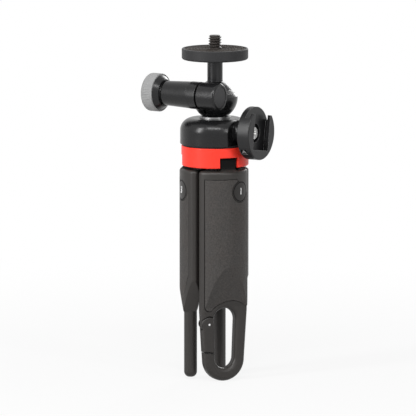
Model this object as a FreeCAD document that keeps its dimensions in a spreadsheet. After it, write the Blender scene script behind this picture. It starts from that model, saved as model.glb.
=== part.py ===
"""Mini tripod with a pinch-clamp ball head, a swivelling cold shoe and a snap-hook leg.

Frame: millimetres, +Z up, the vertical axis of the head on Z, leg tips on Z = 0.
Leg 1, with the snap hook, points towards -Y.  A bearing is counted from -Y towards +X.
"""
import FreeCAD, Part
import math
import os
import Sketcher

V = FreeCAD.Vector
UP = V(0, 0, 1)
OUTPUT = "parts"

# name, value, what it is; millimetres and degrees; a value that begins with = follows from others
SIZES = [
    ("leg_count", 3, "legs round the hub"),
    ("leg_top", 103.8, "height of the shoulders of the legs"),
    ("leg_arc_radius", 15.2, "outside curve of a leg"),
    ("leg_arc_shift", 2.1, "centre of that curve, outwards from the axis"),
    ("leg_gap", 0.9, "gap between the flanks of two legs"),
    ("leg_core", 4.0, "inner flat of a leg, from the axis"),
    ("leg_corner", 2.6, "rounding between outside curve and flank"),
    ("leg_edge", 1.6, "rounding of the shoulder"),
    ("channel_width", 9.0, "hollow along the inside of a leg"),
    ("leg_wall", 3.2, "material left outside that hollow"),
    ("channel_bottom", 50.8, "lower end of the hollow"),
    ("channel_under", 6.0, "upper end of the hollow, below the shoulder"),
    ("channel_top", "=leg_top - channel_under", "upper end of the hollow"),
    ("bar_inner", 8.4, "slender leg end, inner face from the axis"),
    ("bar_outer", 14.7, "slender leg end, outer face from the axis"),
    ("bar_near", 8.3, "slender leg end, side towards the next leg"),
    ("bar_far", 2.4, "slender leg end, other side"),
    ("bar_foot", 1.1, "slender leg tips, above the end of the hook"),
    ("bar_round", 2.7, "rounding of the slender end"),
    ("bar_tip_round", 2.9, "radius of the tip seen from the front"),
    ("shoulder_low", 33.8, "height where the slender end begins"),
    ("shoulder_high", 45.3, "height where the leg has its full depth"),
    ("flare_high", 52.8, "height where the leg has its full width"),
    ("hook_inner", 6.4, "snap hook, inner face from the axis"),
    ("hook_outer", 12.4, "snap hook, outer face from the axis"),
    ("hook_radius", 10.7, "snap hook, outside radius of the round end"),
    ("hook_shift", -0.2, "snap hook, centre line sideways from the leg's"),
    ("hook_waist", 34.8, "height where the sides of the hook stop flaring"),
    ("hook_waist_half", 12.3, "half width of the hook there"),
    ("hook_taper_low", 36.6, "height where the leg above the hook begins"),
    ("hook_taper_high", 56.8, "height where the leg above it has its full depth"),
    ("loop_width", 11.8, "opening of the snap hook, at its upper end"),
    ("loop_foot_half", 5.2, "half width of that opening at its lower end"),
    ("loop_bottom", 6.4, "lower end of that opening"),
    ("loop_top", 35.9, "upper end of that opening"),
    ("hook_round", 2.1, "rounding of the hook's rim"),
    ("gate_pivot_side", -8.7, "gate pivot, sideways"),
    ("gate_pivot_height", 28.4, "gate pivot, height"),
    ("gate_head_radius", 3.9, "round head of the gate"),
    ("gate_foot", 13.7, "lower end of the gate"),
    ("gate_play", 0.25, "gap round the gate"),
    ("gate_round", 0.9, "rounding of the gate's rim"),
    ("gate_inset", 0.5, "gate below the faces of the hook"),
    ("gate_slope", 1.0, "rise of the gate's foot towards the outside"),
    ("tongue_thick", 2.2, "tongue of the hook inside the forked gate"),
    ("tongue_play", 0.15, "gap each side of the tongue"),
    ("gate_pin_radius", 0.8, "gate rivet"),
    ("gate_pin_proud", 0.15, "rivet above the faces of the gate"),
    ("spring_radius", 1.7, "gate spring, outside"),
    ("spring_length", 0.9, "gate spring, along the rivet"),
    ("pad_half", 11.5, "half width of a grip pad"),
    ("pad_thick", 1.1, "thickness of a grip pad"),
    ("pad_under", 3.9, "upper edge of a grip pad, below the shoulder"),
    ("pad_top", "=leg_top - pad_under", "upper edge of a grip pad"),
    ("step_under", 11.5, "its upper edge beside the roundel, below the shoulder"),
    ("pad_step", "=leg_top - step_under", "upper edge of a grip pad beside the roundel"),
    ("pad_point", 36.4, "lower end of the pads of the slender legs"),
    ("pad_flare", 51.8, "height where those pads start to narrow"),
    ("pad_low_left", 34.7, "lower edge of the hook leg's pad, left"),
    ("pad_low_side", -8.0, "end of that edge, sideways"),
    ("pad_crest", 39.5, "lower edge of the hook leg's pad, over the loop"),
    ("pad_crest_side", 2.6, "its highest point, sideways"),
    ("pad_low_right", 35.8, "lower edge of the hook leg's pad, right"),
    ("pad_seam", 0.3, "seam round a grip pad"),
    ("pad_fit", 0.06, "gap under a grip pad"),
    ("pad_corner", 2.5, "round corner of the hook leg's pad"),
    ("roundel_side", 6.4, "roundel centre, sideways"),
    ("roundel_under", 10.3, "roundel centre, below the shoulder"),
    ("roundel_height", "=leg_top - roundel_under", "roundel centre, height"),
    ("roundel_radius", 4.9, "roundel"),
    ("roundel_rim", 0.6, "leg material left between roundel and pad"),
    ("roundel_root", 1.4, "depth of that material below the pad's own depth"),
    ("nub_height", 62.3, "stand-off nub on a flank, middle height"),
    ("nub_length", 10.5, "stand-off nub, length"),
    ("nub_reach", 11.4, "stand-off nub, distance from the axis"),
    ("nub_half", 1.2, "stand-off nub, half width"),
    ("nub_proud", 0.55, "stand-off nub, height above the flank"),
    ("pin_reach", 12.6, "leg pivots, distance from the axis"),
    ("pin_over", 4.6, "leg pivots, above the shoulders"),
    ("pin_height", "=leg_top + pin_over", "leg pivots, height"),
    ("pin_radius", 1.1, "leg pivot pin"),
    ("pin_length", 11.6, "leg pivot pin, length"),
    ("running_fit", 0.05, "radial clearance of a pin that turns"),
    ("seat_fit", 0.03, "radial clearance of a part that stays put"),
    ("knuckle_radius", 2.25, "leg knuckle round its pin"),
    ("knuckle_width", 7.6, "leg knuckle"),
    ("knuckle_foot", 3.0, "knuckle tab, depth into the leg"),
    ("knuckle_flare", 1.6, "knuckle tab, thicker at its foot"),
    ("knuckle_rise", 2.2, "height of that foot's hollow curve above the shoulder"),
    ("knuckle_dip", 0.2, "lower end of that curve, below the shoulder"),
    ("knuckle_play", 0.2, "gap each side of a knuckle"),
    ("hub_under", 2.8, "underside of the hub, below the leg pivots"),
    ("hub_bottom", "=pin_height - hub_under", "underside of the hub"),
    ("collar_under", 0.35, "lower edge of the collar, below the hub"),
    ("collar_bottom", "=hub_bottom - collar_under", "lower edge of the collar"),
    ("collar_high", 9.75, "collar, height"),
    ("collar_top", "=collar_bottom + collar_high", "upper edge of the collar"),
    ("collar_radius", 16.4, "collar, outside"),
    ("collar_wall", 1.5, "collar wall"),
    ("notch_width", 9.5, "collar notch over each knuckle"),
    ("notch_height", 4.95, "collar notch, from the lower edge"),
    ("collar_bevel", 0.3, "bevel of the collar's edges"),
    ("shadow_radius", 15.9, "hub flange in the gap above the collar"),
    ("slot_root", 9.6, "inner end of a knuckle slot, from the axis"),
    ("slot_over", 2.8, "roof of a knuckle slot, above the leg pivots"),
    ("slot_top", "=pin_height + slot_over", "roof of a knuckle slot"),
    ("detent_radius", 1.1, "detent ball"),
    ("detent_gap", 0.12, "detent ball above the knuckle"),
    ("detent_play", 0.1, "room round a detent ball"),
    ("detent_spring_wire", 0.35, "detent spring wire"),
    ("detent_room", 4.1, "height of the room for a detent ball and its spring"),
    ("detent_roof", "=slot_top + detent_room", "height of the roof over a detent spring"),
    ("hub_screw_reach", 9.6, "hub screws, distance from the axis"),
    ("hub_screw_radius", 1.25, "hub screw shank"),
    ("hub_screw_head", 2.3, "hub screw head radius"),
    ("hub_screw_head_high", 1.6, "hub screw head height"),
    ("hub_screw_play", 0.1, "room round a hub screw"),
    ("hub_screw_sink", 4.2, "depth of the seats of the hub screws"),
    ("hub_screw_seat", "=hub_bottom + hub_screw_sink", "height of the seats of the hub screws"),
    ("hub_well", 5.6, "round hollow in the middle of the hub"),
    ("hub_well_deep", 7.0, "depth of that hollow from below"),
    ("shadow_gap", 0.9, "gap between collar and dome"),
    ("dome_bottom", "=collar_top + shadow_gap", "lower edge of the dome"),
    ("hub_screw_grip", 5.9, "hub screws, length inside the dome"),
    ("hub_screw_end", "=dome_bottom + hub_screw_grip", "upper end of the hub screws"),
    ("dome_high", 12.4, "dome, height"),
    ("dome_top", "=dome_bottom + dome_high", "top of the dome"),
    ("dome_radius", 17.0, "dome, outside"),
    ("dome_round", 6.0, "rounding of the dome's shoulder"),
    ("dome_facet", 13.3, "flat behind the cold shoe, from the axis"),
    ("dome_wall", 2.4, "dome wall"),
    ("dome_web", 4.6, "thickness of the dome's crown"),
    ("dome_post", 2.9, "screw posts inside the dome, radius"),
    ("pan_ring_radius", 7.5, "bright bearing ring under the head"),
    ("pan_ring_high", 0.9, "bright bearing ring, height"),
    ("pan_gap", 0.1, "gap under the turning head"),
    ("spigot_radius", 4.0, "spigot of the head in the dome"),
    ("pan_screw_radius", 1.5, "screw that holds the head down"),
    ("pan_screw_head", 2.9, "its head, radius"),
    ("pan_screw_head_high", 2.2, "its head, height"),
    ("pan_screw_under", 0.7, "upper end of that screw, below the dome's top"),
    ("pan_screw_end", "=dome_top - pan_screw_under", "upper end of that screw"),
    ("pan_washer_radius", 5.4, "washer under that head"),
    ("pan_washer_thick", 0.8, "washer, thickness"),
    ("ball_over", 10.2, "centre of the ball, above the dome"),
    ("ball_height", "=dome_top + ball_over", "centre of the ball"),
    ("ball_radius", 8.6, "ball"),
    ("ball_play", 0.05, "ball in its liner"),
    ("liner_thick", 0.9, "ball liner"),
    ("cup_radius", 11.1, "cup, outside"),
    ("cup_rim_drop", 11.5, "height above the ball centre where the bevel would meet the axis"),
    ("stem_radius", 3.75, "stem of the ball"),
    ("stem_foot_radius", 3.8, "small collar where the stem meets the ball"),
    ("stem_foot_high", 0.5, "height of that collar"),
    ("head_bearing", 31.5, "bearing of the clamp barrel's capped end"),
    ("barrel_offset", 11.6, "clamp barrel axis in front of the ball"),
    ("barrel_over", 1.7, "clamp barrel axis, above the ball's centre"),
    ("barrel_height", "=ball_height + barrel_over", "clamp barrel axis, height"),
    ("barrel_radius", 6.7, "clamp barrel"),
    ("boss_end", 10.7, "capped end of the barrel, from the slit"),
    ("ear_end", 5.6, "other ear of the clamp, from the slit"),
    ("slit_width", 1.1, "slit of the clamp"),
    ("slit_under", 9.8, "lower end of the slit, below the barrel's axis"),
    ("slit_floor", "=barrel_height - slit_under", "lower end of the slit"),
    ("cap_radius", 5.0, "disc that closes the boss"),
    ("cap_thick", 0.8, "disc thickness"),
    ("cap_sink", 0.2, "disc below the rim of the boss"),
    ("sleeve_end", 20.0, "outer end of the barrel sleeve, from the slit"),
    ("sleeve_root", 6.6, "sleeve radius at the clamp"),
    ("sleeve_tip", 6.0, "sleeve radius at the knob"),
    ("sleeve_gap", 0.1, "gap between the sleeve and the cup"),
    ("boss_round", 1.2, "rounding of the barrel's capped end"),
    ("bolt_radius", 1.6, "clamp bolt"),
    ("bolt_clearance", 0.15, "room round the clamp bolt"),
    ("bolt_head_radius", 3.5, "clamp bolt head"),
    ("bolt_head_thick", 2.4, "clamp bolt head, thickness"),
    ("thrust_radius", 4.4, "thrust washer"),
    ("knob_gap", 1.2, "gap between sleeve and knob"),
    ("knob_play", 0.1, "gap between thrust washer and knob"),
    ("knob_cone", 2.4, "black cone of the knob, length"),
    ("knob_cone_root", 6.6, "cone radius at the sleeve"),
    ("knob_cone_rim", 8.5, "cone radius at the grip"),
    ("knob_grip_length", 6.6, "knurled ring, length"),
    ("knob_grip_radius", 9.3, "knurled ring, radius"),
    ("knob_grip_round", 1.5, "rounding of the ring's outer face"),
    ("knob_grip_bevel", 0.5, "bevel of the ring's inner face"),
    ("knob_core", 7.4, "knob core inside the ring"),
    ("knob_core_sink", 0.7, "knob core below the face of the ring"),
    ("nut_radius", 3.6, "nut in the knob"),
    ("nut_length", 5.0, "nut in the knob, length"),
    ("nut_sink", 1.1, "nut below the knob's inner face"),
    ("nut_end_gap", 0.5, "room past the nut and the bolt's end"),
    ("plate_over", 18.5, "underside of the camera plate, above the ball's centre"),
    ("plate_bottom", "=ball_height + plate_over", "underside of the camera plate"),
    ("plate_gap", 0.1, "gap between the stem and the plate"),
    ("plate_high", 5.3, "camera plate, height"),
    ("plate_top", "=plate_bottom + plate_high", "top of the camera plate's rim"),
    ("plate_radius", 16.2, "camera plate"),
    ("plate_lip", 1.2, "rim round the rubber pad"),
    ("plate_bevel", 0.3, "bevel of that rim"),
    ("plate_recess", 1.0, "recess for the rubber pad"),
    ("plate_edge", 1.0, "rounding under the camera plate"),
    ("plate_floor", 1.6, "seat of the camera stud, above the plate's underside"),
    ("plate_seat", "=plate_bottom + plate_floor", "height of the seat of the camera stud in the plate"),
    ("pad_sink", 0.15, "rubber pad below the rim"),
    ("pad_hole", 3.7, "hole in the rubber pad"),
    ("stud_radius", 3.175, "camera stud, 1/4 inch"),
    ("stud_neck", 2.7, "plain neck of the stud inside the plate"),
    ("stud_proud", 6.4, "camera stud above the plate"),
    ("stud_top", "=plate_top + stud_proud", "top of the camera stud"),
    ("stud_bevel", 0.6, "bevel of the stud's end"),
    ("stud_root_radius", 2.2, "thin end of the stud in the stem"),
    ("stud_in_stem", 6.2, "length of that thin end inside the stem"),
    ("stud_root", "=plate_bottom - stud_in_stem", "lower end of the stud"),
    ("shoe_bearing", 34.5, "bearing of the cold shoe"),
    ("shoe_turn", 8.5, "cold shoe turned clockwise, seen from outside"),
    ("shoe_over", 6.2, "cold shoe axis, above the dome's lower edge"),
    ("shoe_height", "=dome_bottom + shoe_over", "cold shoe axis, height"),
    ("shoe_radius", 12.9, "cold shoe disc"),
    ("shoe_boss", 6.0, "boss on the dome behind the shoe"),
    ("shoe_boss_reach", 18.9, "face of that boss, from the axis"),
    ("shoe_space", 0.6, "space between that boss and the shoe, for a washer"),
    ("shoe_back", "=shoe_boss_reach + shoe_space", "back of the shoe, from the axis"),
    ("shoe_web", 3.0, "material behind the shoe's slot"),
    ("shoe_floor", "=shoe_back + shoe_web", "floor of the shoe's slot"),
    ("shoe_deep", 3.6, "from that floor to the front of the shoe"),
    ("shoe_front", "=shoe_floor + shoe_deep", "front of the shoe"),
    ("shoe_lip", 1.5, "thickness of the shoe's lips"),
    ("shoe_lip_top", 9.2, "upper end of the lips above the shoe's axis"),
    ("shoe_wall_top", 7.1, "upper end of the slot's side walls above the shoe's axis"),
    ("shoe_slot", 18.7, "slot width behind the lips"),
    ("shoe_mouth", 14.8, "opening between the lips"),
    ("shoe_stop", -8.2, "stop ledge of the slot below the shoe's axis"),
    ("shoe_edge", 0.4, "rounding of the shoe's rim"),
    ("window_turn", 222.5, "arrow window in the shoe's rim, angle from its top"),
    ("window_width", 3.2, "arrow window, along the rim"),
    ("window_long", 3.7, "arrow window, across the rim"),
    ("window_deep", 0.35, "arrow window, depth"),
    ("window_space", 0.5, "arrow window, from the shoe's back"),
    ("shoe_washer_radius", 5.6, "friction washer behind the shoe"),
    ("shoe_washer_gap", 0.1, "gap beside the friction washer"),
    ("shoe_screw_radius", 2.0, "shoe screw shank"),
    ("shoe_screw_root", 13.2, "inner end of the shoe screw, from the axis"),
    ("shoe_screw_head", 3.0, "shoe screw head radius"),
    ("shoe_screw_head_thick", 1.6, "shoe screw head thickness"),
    ("shoe_counterbore", 4.6, "counterbore in the shoe's floor"),
    ("shoe_screw_sink", 0.3, "shoe screw head below the floor"),
    ("socket_radius", 1.3, "drive socket in the shoe screw"),
    ("socket_deep", 1.0, "depth of that socket"),
]


class Size:
    """A number together with the sheet expression that gives it."""

    def __init__(self, number, text=None):
        self.number = float(number)
        self.text = text if text is not None else "%.9g" % number

    def _join(self, other, sign, result):
        return Size(result, "(%s %s %s)" % (self.text, sign, as_size(other).text))

    def __add__(self, other):
        return self._join(other, "+", self.number + as_size(other).number)

    def __sub__(self, other):
        return self._join(other, "-", self.number - as_size(other).number)

    def __mul__(self, other):
        return self._join(other, "*", self.number * as_size(other).number)

    def __truediv__(self, other):
        return self._join(other, "/", self.number / as_size(other).number)

    def __neg__(self):
        return Size(-self.number, "(-1 * %s)" % self.text)

    def __radd__(self, other):
        return as_size(other) + self

    def __rsub__(self, other):
        return as_size(other) - self

    def __rmul__(self, other):
        return as_size(other) * self

    def __rtruediv__(self, other):
        return as_size(other) / self

    def __float__(self):
        return self.number


def as_size(value):
    return value if isinstance(value, Size) else Size(value)


def root(value):
    return Size(math.sqrt(value.number), "sqrt(%s)" % value.text)


def sine(angle):
    return Size(math.sin(math.radians(float(angle))), "sin(%s)" % as_size(angle).text)


def cosine(angle):
    return Size(math.cos(math.radians(float(angle))), "cos(%s)" % as_size(angle).text)


class Sizes:
    """The driving dimensions: a spreadsheet, read as attributes."""

    def __init__(self, doc, rows):
        self.sheet = doc.addObject("Spreadsheet::Sheet", "sizes")
        self.names = {}
        for number, (name, value, meaning) in enumerate(rows, start=1):
            self.sheet.set("A%d" % number, name)
            self.sheet.setAlias("B%d" % number, name)
            self.sheet.set("B%d" % number, str(value))
            self.sheet.set("C%d" % number, meaning)
        doc.recompute()
        for name, _, _ in rows:
            self.names[name] = float(self.sheet.get(name))

    def __getattr__(self, name):
        if name not in self.names:
            raise AttributeError(name)
        return Size(self.names[name], "sizes." + name)


doc = FreeCAD.newDocument("mini_tripod")
S = Sizes(doc, SIZES)
finished = []


def keep(shape_object, name):
    """Mark a document object as a finished sub-part."""
    shape_object.Label = name
    finished.append((name, shape_object))
    return shape_object


def failed(item):
    return "Invalid" in item.State or "Error" in item.State


def circle(x, y, radius):
    return ("circle", as_size(x), as_size(y), as_size(radius))


def rectangle(x0, y0, x1, y1):
    return [(x0, y0), (x1, y0), (x1, y1), (x0, y1)]


def draw_circle(sketch, x, y, radius):
    geometry = Part.Circle(V(float(x), float(y), 0), UP, float(radius))
    index = sketch.addGeometry(geometry, False)
    bind(sketch, Sketcher.Constraint("Radius", index, float(radius)), radius)
    bind(sketch, Sketcher.Constraint("DistanceX", index, 3, float(x)), x)
    bind(sketch, Sketcher.Constraint("DistanceY", index, 3, float(y)), y)


def bind(sketch, constraint, size):
    index = sketch.addConstraint(constraint)
    sketch.setExpression("Constraints[%d]" % index, size.text)


def arc_centre(start, end, radius):
    """Centre of the minor arc from start to end, turning left for a positive radius."""
    chord = end.sub(start)
    half = chord.Length / 2
    rise = math.sqrt(max(radius * radius - half * half, 0.0))
    left = V(-chord.y, chord.x, 0).normalize()
    return start.add(chord * 0.5).add(left * math.copysign(rise, radius))


def draw_outline(sketch, points):
    """A closed outline; a point with a third value starts an arc of that signed radius."""
    corners = [(as_size(p[0]), as_size(p[1])) for p in points]
    places = [V(float(x), float(y), 0) for x, y in corners]
    ends = []
    for k, point in enumerate(points):
        start = places[k]
        end = places[(k + 1) % len(points)]
        if len(point) == 2:
            index = sketch.addGeometry(Part.LineSegment(start, end), False)
            ends.append((index, 1, 2))
            continue
        radius = as_size(point[2])
        centre = arc_centre(start, end, radius.number)
        turn = [math.atan2(p.y - centre.y, p.x - centre.x) for p in (start, end)]
        leftward = radius.number > 0
        first, last = turn if leftward else turn[::-1]
        whole = Part.Circle(centre, UP, abs(radius.number))
        index = sketch.addGeometry(Part.ArcOfCircle(whole, first, last), False)
        ends.append((index, 1, 2) if leftward else (index, 2, 1))
        size = radius if leftward else -radius
        bind(sketch, Sketcher.Constraint("Radius", index, size.number), size)
    for k, (x, y) in enumerate(corners):
        index, begin, _ = ends[k]
        before, _, finish = ends[k - 1]
        sketch.addConstraint(Sketcher.Constraint("Coincident", before, finish, index, begin))
        bind(sketch, Sketcher.Constraint("DistanceX", index, begin, x.number), x)
        bind(sketch, Sketcher.Constraint("DistanceY", index, begin, y.number), y)


class Piece:
    """A body built from sketches on its own origin planes.

    A sketch on XY looks along Z, one on XZ along -Y (x is X, y is Z), one on YZ along X (x is Y, y is Z).
    A pad or cut runs from start to start + length in that direction.
    """

    def __init__(self, name):
        self.body = doc.addObject("PartDesign::Body", name)
        self.count = 0

    def _sketch(self, plane, loops, start):
        self.count += 1
        sketch = self.body.newObject("Sketcher::SketchObject", "%s_sketch_%d" % (self.body.Name, self.count))
        role = plane + "_Plane"
        support = [o for o in self.body.Origin.OriginFeatures if o.Role == role][0]
        sketch.AttachmentSupport = [(support, "")]
        sketch.MapMode = "FlatFace"
        lift = as_size(start)
        sketch.AttachmentOffset = FreeCAD.Placement(V(0, 0, lift.number), FreeCAD.Rotation())
        if lift.number:
            sketch.setExpression("AttachmentOffset.Base.z", lift.text)
        for loop in loops:
            if loop[0] == "circle":
                draw_circle(sketch, *loop[1:])
            else:
                draw_outline(sketch, loop)
        doc.recompute()
        return sketch

    def _feature(self, kind, sketch):
        feature = self.body.newObject("PartDesign::" + kind, "%s_%s_%d" % (self.body.Name, kind.lower(), self.count))
        feature.Profile = sketch
        return feature

    def _settle(self, feature, grows):
        before = feature.BaseFeature.Shape.Volume if feature.BaseFeature else 0.0
        doc.recompute()
        change = self.body.Shape.Volume - before
        if failed(feature) or (change <= 0 if grows else change >= 0):
            raise RuntimeError("%s did not change its solid as meant" % feature.Name)
        return feature

    def pad(self, plane, loops, length, start=0):
        feature = self._feature("Pad", self._sketch(plane, loops, start))
        feature.setExpression("Length", as_size(length).text)
        return self._settle(feature, True)

    def cut(self, plane, loops, length, start=0):
        feature = self._feature("Pocket", self._sketch(plane, loops, start))
        feature.Reversed = True
        feature.setExpression("Length", as_size(length).text)
        return self._settle(feature, False)

    def turn(self, *loops):
        """Turn profiles of (radius, height) about the Z axis."""
        sketch = self._sketch("XZ", loops, 0)
        feature = self._feature("Revolution", sketch)
        feature.ReferenceAxis = (sketch, ["V_Axis"])
        feature.Angle = 360
        return self._settle(feature, True)

    def groove(self, *loops):
        """Turn profiles of (radius, height) out of the solid."""
        sketch = self._sketch("XZ", loops, 0)
        feature = self._feature("Groove", sketch)
        feature.ReferenceAxis = (sketch, ["V_Axis"])
        feature.Angle = 360
        return self._settle(feature, False)

    def around(self, feature, count):
        """Repeat a feature evenly about the Z axis."""
        pattern = self.body.newObject("PartDesign::PolarPattern", feature.Name + "_around")
        pattern.Originals = [feature]
        axis = [o for o in self.body.Origin.OriginFeatures if o.Role == "Z_Axis"][0]
        pattern.Axis = (axis, [""])
        pattern.Angle = 360
        pattern.setExpression("Occurrences", as_size(count).text)
        self.body.Tip = pattern
        doc.recompute()
        return pattern

    def soften(self, radius, wanted, kind="Fillet"):
        """Round or bevel the edges that the test picks."""
        base = self.body.Tip
        names = ["Edge%d" % k for k, edge in enumerate(base.Shape.Edges, start=1) if wanted(edge)]
        if not names:
            raise RuntimeError("no edge to soften on " + self.body.Name)
        feature = self.body.newObject("PartDesign::" + kind, "%s_%s_%d" % (self.body.Name, kind.lower(), self.count))
        self.count += 1
        feature.Base = (base, names)
        feature.setExpression("Radius" if kind == "Fillet" else "Size", as_size(radius).text)
        doc.recompute()
        if failed(feature) or not self.body.Shape.isValid():
            raise RuntimeError("%s failed" % feature.Name)
        return feature

    def place(self, placement):
        self.body.Placement = placement
        return self

    def keep(self):
        return keep(self.body, self.body.Name)


def about_z(angle):
    return FreeCAD.Placement(V(), FreeCAD.Rotation(UP, float(angle)))


def head_place():
    """Head frame: X along the clamp barrel towards its capped end, -Y towards the barrel."""
    return about_z(S.head_bearing.number - 90)


def barrel_place():
    """Z along the clamp barrel towards its capped end, zero at the slit."""
    along = FreeCAD.Rotation(V(0, 1, 0), 90)
    offset = V(0, -float(S.barrel_offset), float(S.barrel_height))
    return head_place().multiply(FreeCAD.Placement(offset, along))


def shoe_place():
    """-Y outwards along the shoe axis, the shoe's slot along Z."""
    lean = FreeCAD.Rotation(V(0, 1, 0), float(S.shoe_turn))
    centre = V(0, 0, float(S.shoe_height))
    return about_z(S.shoe_bearing).multiply(FreeCAD.Placement(centre, lean))


def leg_place(number):
    return about_z((number - 1) * 360 / S.leg_count)


def combine(kind, name, base, tool):
    result = doc.addObject("Part::" + kind, name)
    result.Base = base
    result.Tool = tool
    doc.recompute()
    return result


def is_upright(edge):
    box = edge.BoundBox
    return box.ZLength > 1 and box.XLength < 0.01 and box.YLength < 0.01


# Legs, in a frame with -Y outwards

flank = 180 / S.leg_count
flank_gap = S.leg_gap / 2
far = Size(40)          # past every face of a leg
leg_floor = Size(-1)


def flank_width(reach):
    """Half width of a leg at a distance from the axis, up to its flanks."""
    return (reach * sine(flank) - flank_gap) / cosine(flank)


def curve_corner(radius):
    """Where the outside curve meets the flanks: distance from the axis."""
    middle = S.leg_arc_shift * cosine(flank) * cosine(flank) + flank_gap * sine(flank)
    rest = (S.leg_arc_shift * S.leg_arc_shift - radius * radius) * cosine(flank) * cosine(flank)
    return middle + root(middle * middle - rest - flank_gap * flank_gap)


def leg_section(radius):
    """Section across a leg, between its flanks, with an outside curve of that radius."""
    reach = curve_corner(radius)
    wide = flank_width(reach)
    core = flank_width(S.leg_core)
    return [(-wide, -reach, radius), (wide, -reach), (core, -S.leg_core), (-core, -S.leg_core)]


def hook_outline():
    """The snap hook from the front: straight top inside the leg, round end below."""
    middle = S.hook_shift
    waist = S.hook_waist_half
    end = S.hook_radius
    top = S.hook_taper_low + 2
    return [(middle - waist, top), (middle - waist, S.hook_waist), (middle - end, end, end),
            (middle, Size(0), end), (middle + end, end), (middle + waist, S.hook_waist), (middle + waist, top)]


loop_low = S.loop_bottom + S.loop_foot_half
loop_high = S.loop_top - S.loop_width / 2


def hook_side(height):
    """Half width of the snap hook, at a height on its tapering sides."""
    grown = (S.hook_waist_half - S.hook_radius) * (height - S.hook_radius) / (S.hook_waist - S.hook_radius)
    return S.hook_radius + grown


def loop_side(height):
    """Half width of its opening, at a height on the opening's straight sides."""
    grown = (S.loop_width / 2 - S.loop_foot_half) * (height - loop_low) / (loop_high - loop_low)
    return S.loop_foot_half + grown


def loop_slot():
    """Opening of the snap hook: straight sides and round ends, narrower at the bottom."""
    half, foot = S.loop_width / 2, S.loop_foot_half
    middle = S.hook_shift
    return [(middle - half, loop_high), (middle - foot, loop_low, foot), (middle, S.loop_bottom, foot),
            (middle + foot, loop_low), (middle + half, loop_high, half), (middle, S.loop_top, half)]


def bar_outline():
    """The slender end from the front: straight sides and a round tip."""
    tip, foot = S.bar_tip_round, S.bar_foot
    top = S.shoulder_low + 3
    return [(S.bar_far, top), (S.bar_far, foot + tip, tip), (S.bar_far + tip, foot),
            (S.bar_near - tip, foot, tip), (S.bar_near, foot + tip), (S.bar_near, top)]


def front_trim(number):
    """Front outlines of what is cut from the sides of the widening part of a leg."""
    wide = flank_width(curve_corner(S.leg_arc_radius))
    if number == 1:
        low, high = S.hook_taper_low, S.hook_taper_high - 8
        left, right = S.hook_shift - S.hook_waist_half, S.hook_shift + S.hook_waist_half
    else:
        low, high = S.shoulder_low, S.flare_high
        left, right = S.bar_far, S.bar_near
    return [[(-far, low - 1), (left, low - 1), (left, low), (-wide, high), (-far, high)],
            [(far, low - 1), (far, high), (wide, high), (right, low), (right, low - 1)]]


def outer_trim(number, inset):
    """Side outline of what is cut from the outside of a leg: x is Y, y is Z."""
    if number == 1:
        face, low, high = S.hook_outer, S.hook_taper_low, S.hook_taper_high
    else:
        face, low, high = S.bar_outer, S.shoulder_low, S.shoulder_high
    full = S.leg_arc_shift + S.leg_arc_radius
    return [(-far, leg_floor), (inset - face, leg_floor), (inset - face, low), (inset - full, high), (-far, high)]


def inner_trim(number):
    """Side outline of what is cut from the inside of a leg: x is Y, y is Z."""
    face, low = (S.hook_inner, S.hook_taper_low) if number == 1 else (S.bar_inner, S.shoulder_low)
    return [(Size(1), leg_floor), (-face, leg_floor), (-face, low), (-S.leg_core, S.channel_bottom),
            (Size(1), S.channel_bottom)]


def leg_form(name, number, inset):
    """The widening part and the grip of a leg, its outside drawn in by an inset."""
    form = Piece(name)
    low = S.pad_low_left - 1 if number == 1 else S.shoulder_low
    form.pad("XY", [leg_section(S.leg_arc_radius - inset)], S.leg_top - low, low)
    form.cut("YZ", [outer_trim(number, inset)], far * 2, -far)
    return form


def crest_radius(run, rise):
    """Radius of an arc that is level at one end, from its run and its rise."""
    return (run * run + rise * rise) / (rise * 2)


def pad_outline(number, seam):
    """Front outline of a grip pad, drawn in by the seam: x sideways, y height."""
    half = S.pad_half - seam
    top = S.pad_top - seam
    step = S.pad_step - seam
    dodge = S.roundel_side - S.roundel_radius / 2
    bay = [(half, step), (S.roundel_side + S.roundel_radius, step), (dodge, top), (-half, top)]
    if number == 1:
        left = S.pad_low_left + seam
        crest = S.pad_crest + seam
        right = S.pad_low_right + seam
        corner, side, end = S.pad_corner, S.pad_low_side, S.pad_crest_side
        return [(-half, left + corner, corner), (corner - half, left),
                (side, left, -crest_radius(end - side, crest - left)),
                (end, crest, -crest_radius(half - end, crest - right)), (half, right)] + bay
    point = S.pad_point + seam
    flare = S.pad_flare + seam
    return [(-half, flare), (S.bar_far + 1, point), (S.bar_near - 1, point), (half, flare)] + bay


def roundel_place():
    """Z outwards through the middle of the roundel."""
    turn = math.degrees(math.asin(S.roundel_side.number / S.leg_arc_radius.number))
    outward = FreeCAD.Rotation(V(1, 0, 0), 90)
    centre = V(0, -S.leg_arc_shift.number, S.roundel_height.number)
    return FreeCAD.Placement(centre, FreeCAD.Rotation(UP, turn).multiply(outward))


def roundel_plug(name, radius, inset):
    """Disc that stands out through the leg's outside curve, down to the pad's depth less the inset."""
    plug = Piece(name)
    plug.pad("XY", [circle(0, 0, radius)], S.pad_thick + 2, S.leg_arc_radius - S.pad_thick - inset)
    return plug.place(roundel_place())


def layer_in_outline(name, number, outside, inside, seam):
    """The layer between two leg forms, inside the pad's front outline."""
    outer_form = leg_form(name + "_outside", number, outside)
    inner_form = leg_form(name + "_inside", number, inside)
    layer = combine("Cut", name + "_layer", outer_form.body, inner_form.body)
    prism = Piece(name + "_prism")
    prism.pad("XZ", [pad_outline(number, seam)], far)
    return combine("Common", name + "_bed", layer, prism.body)


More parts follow.
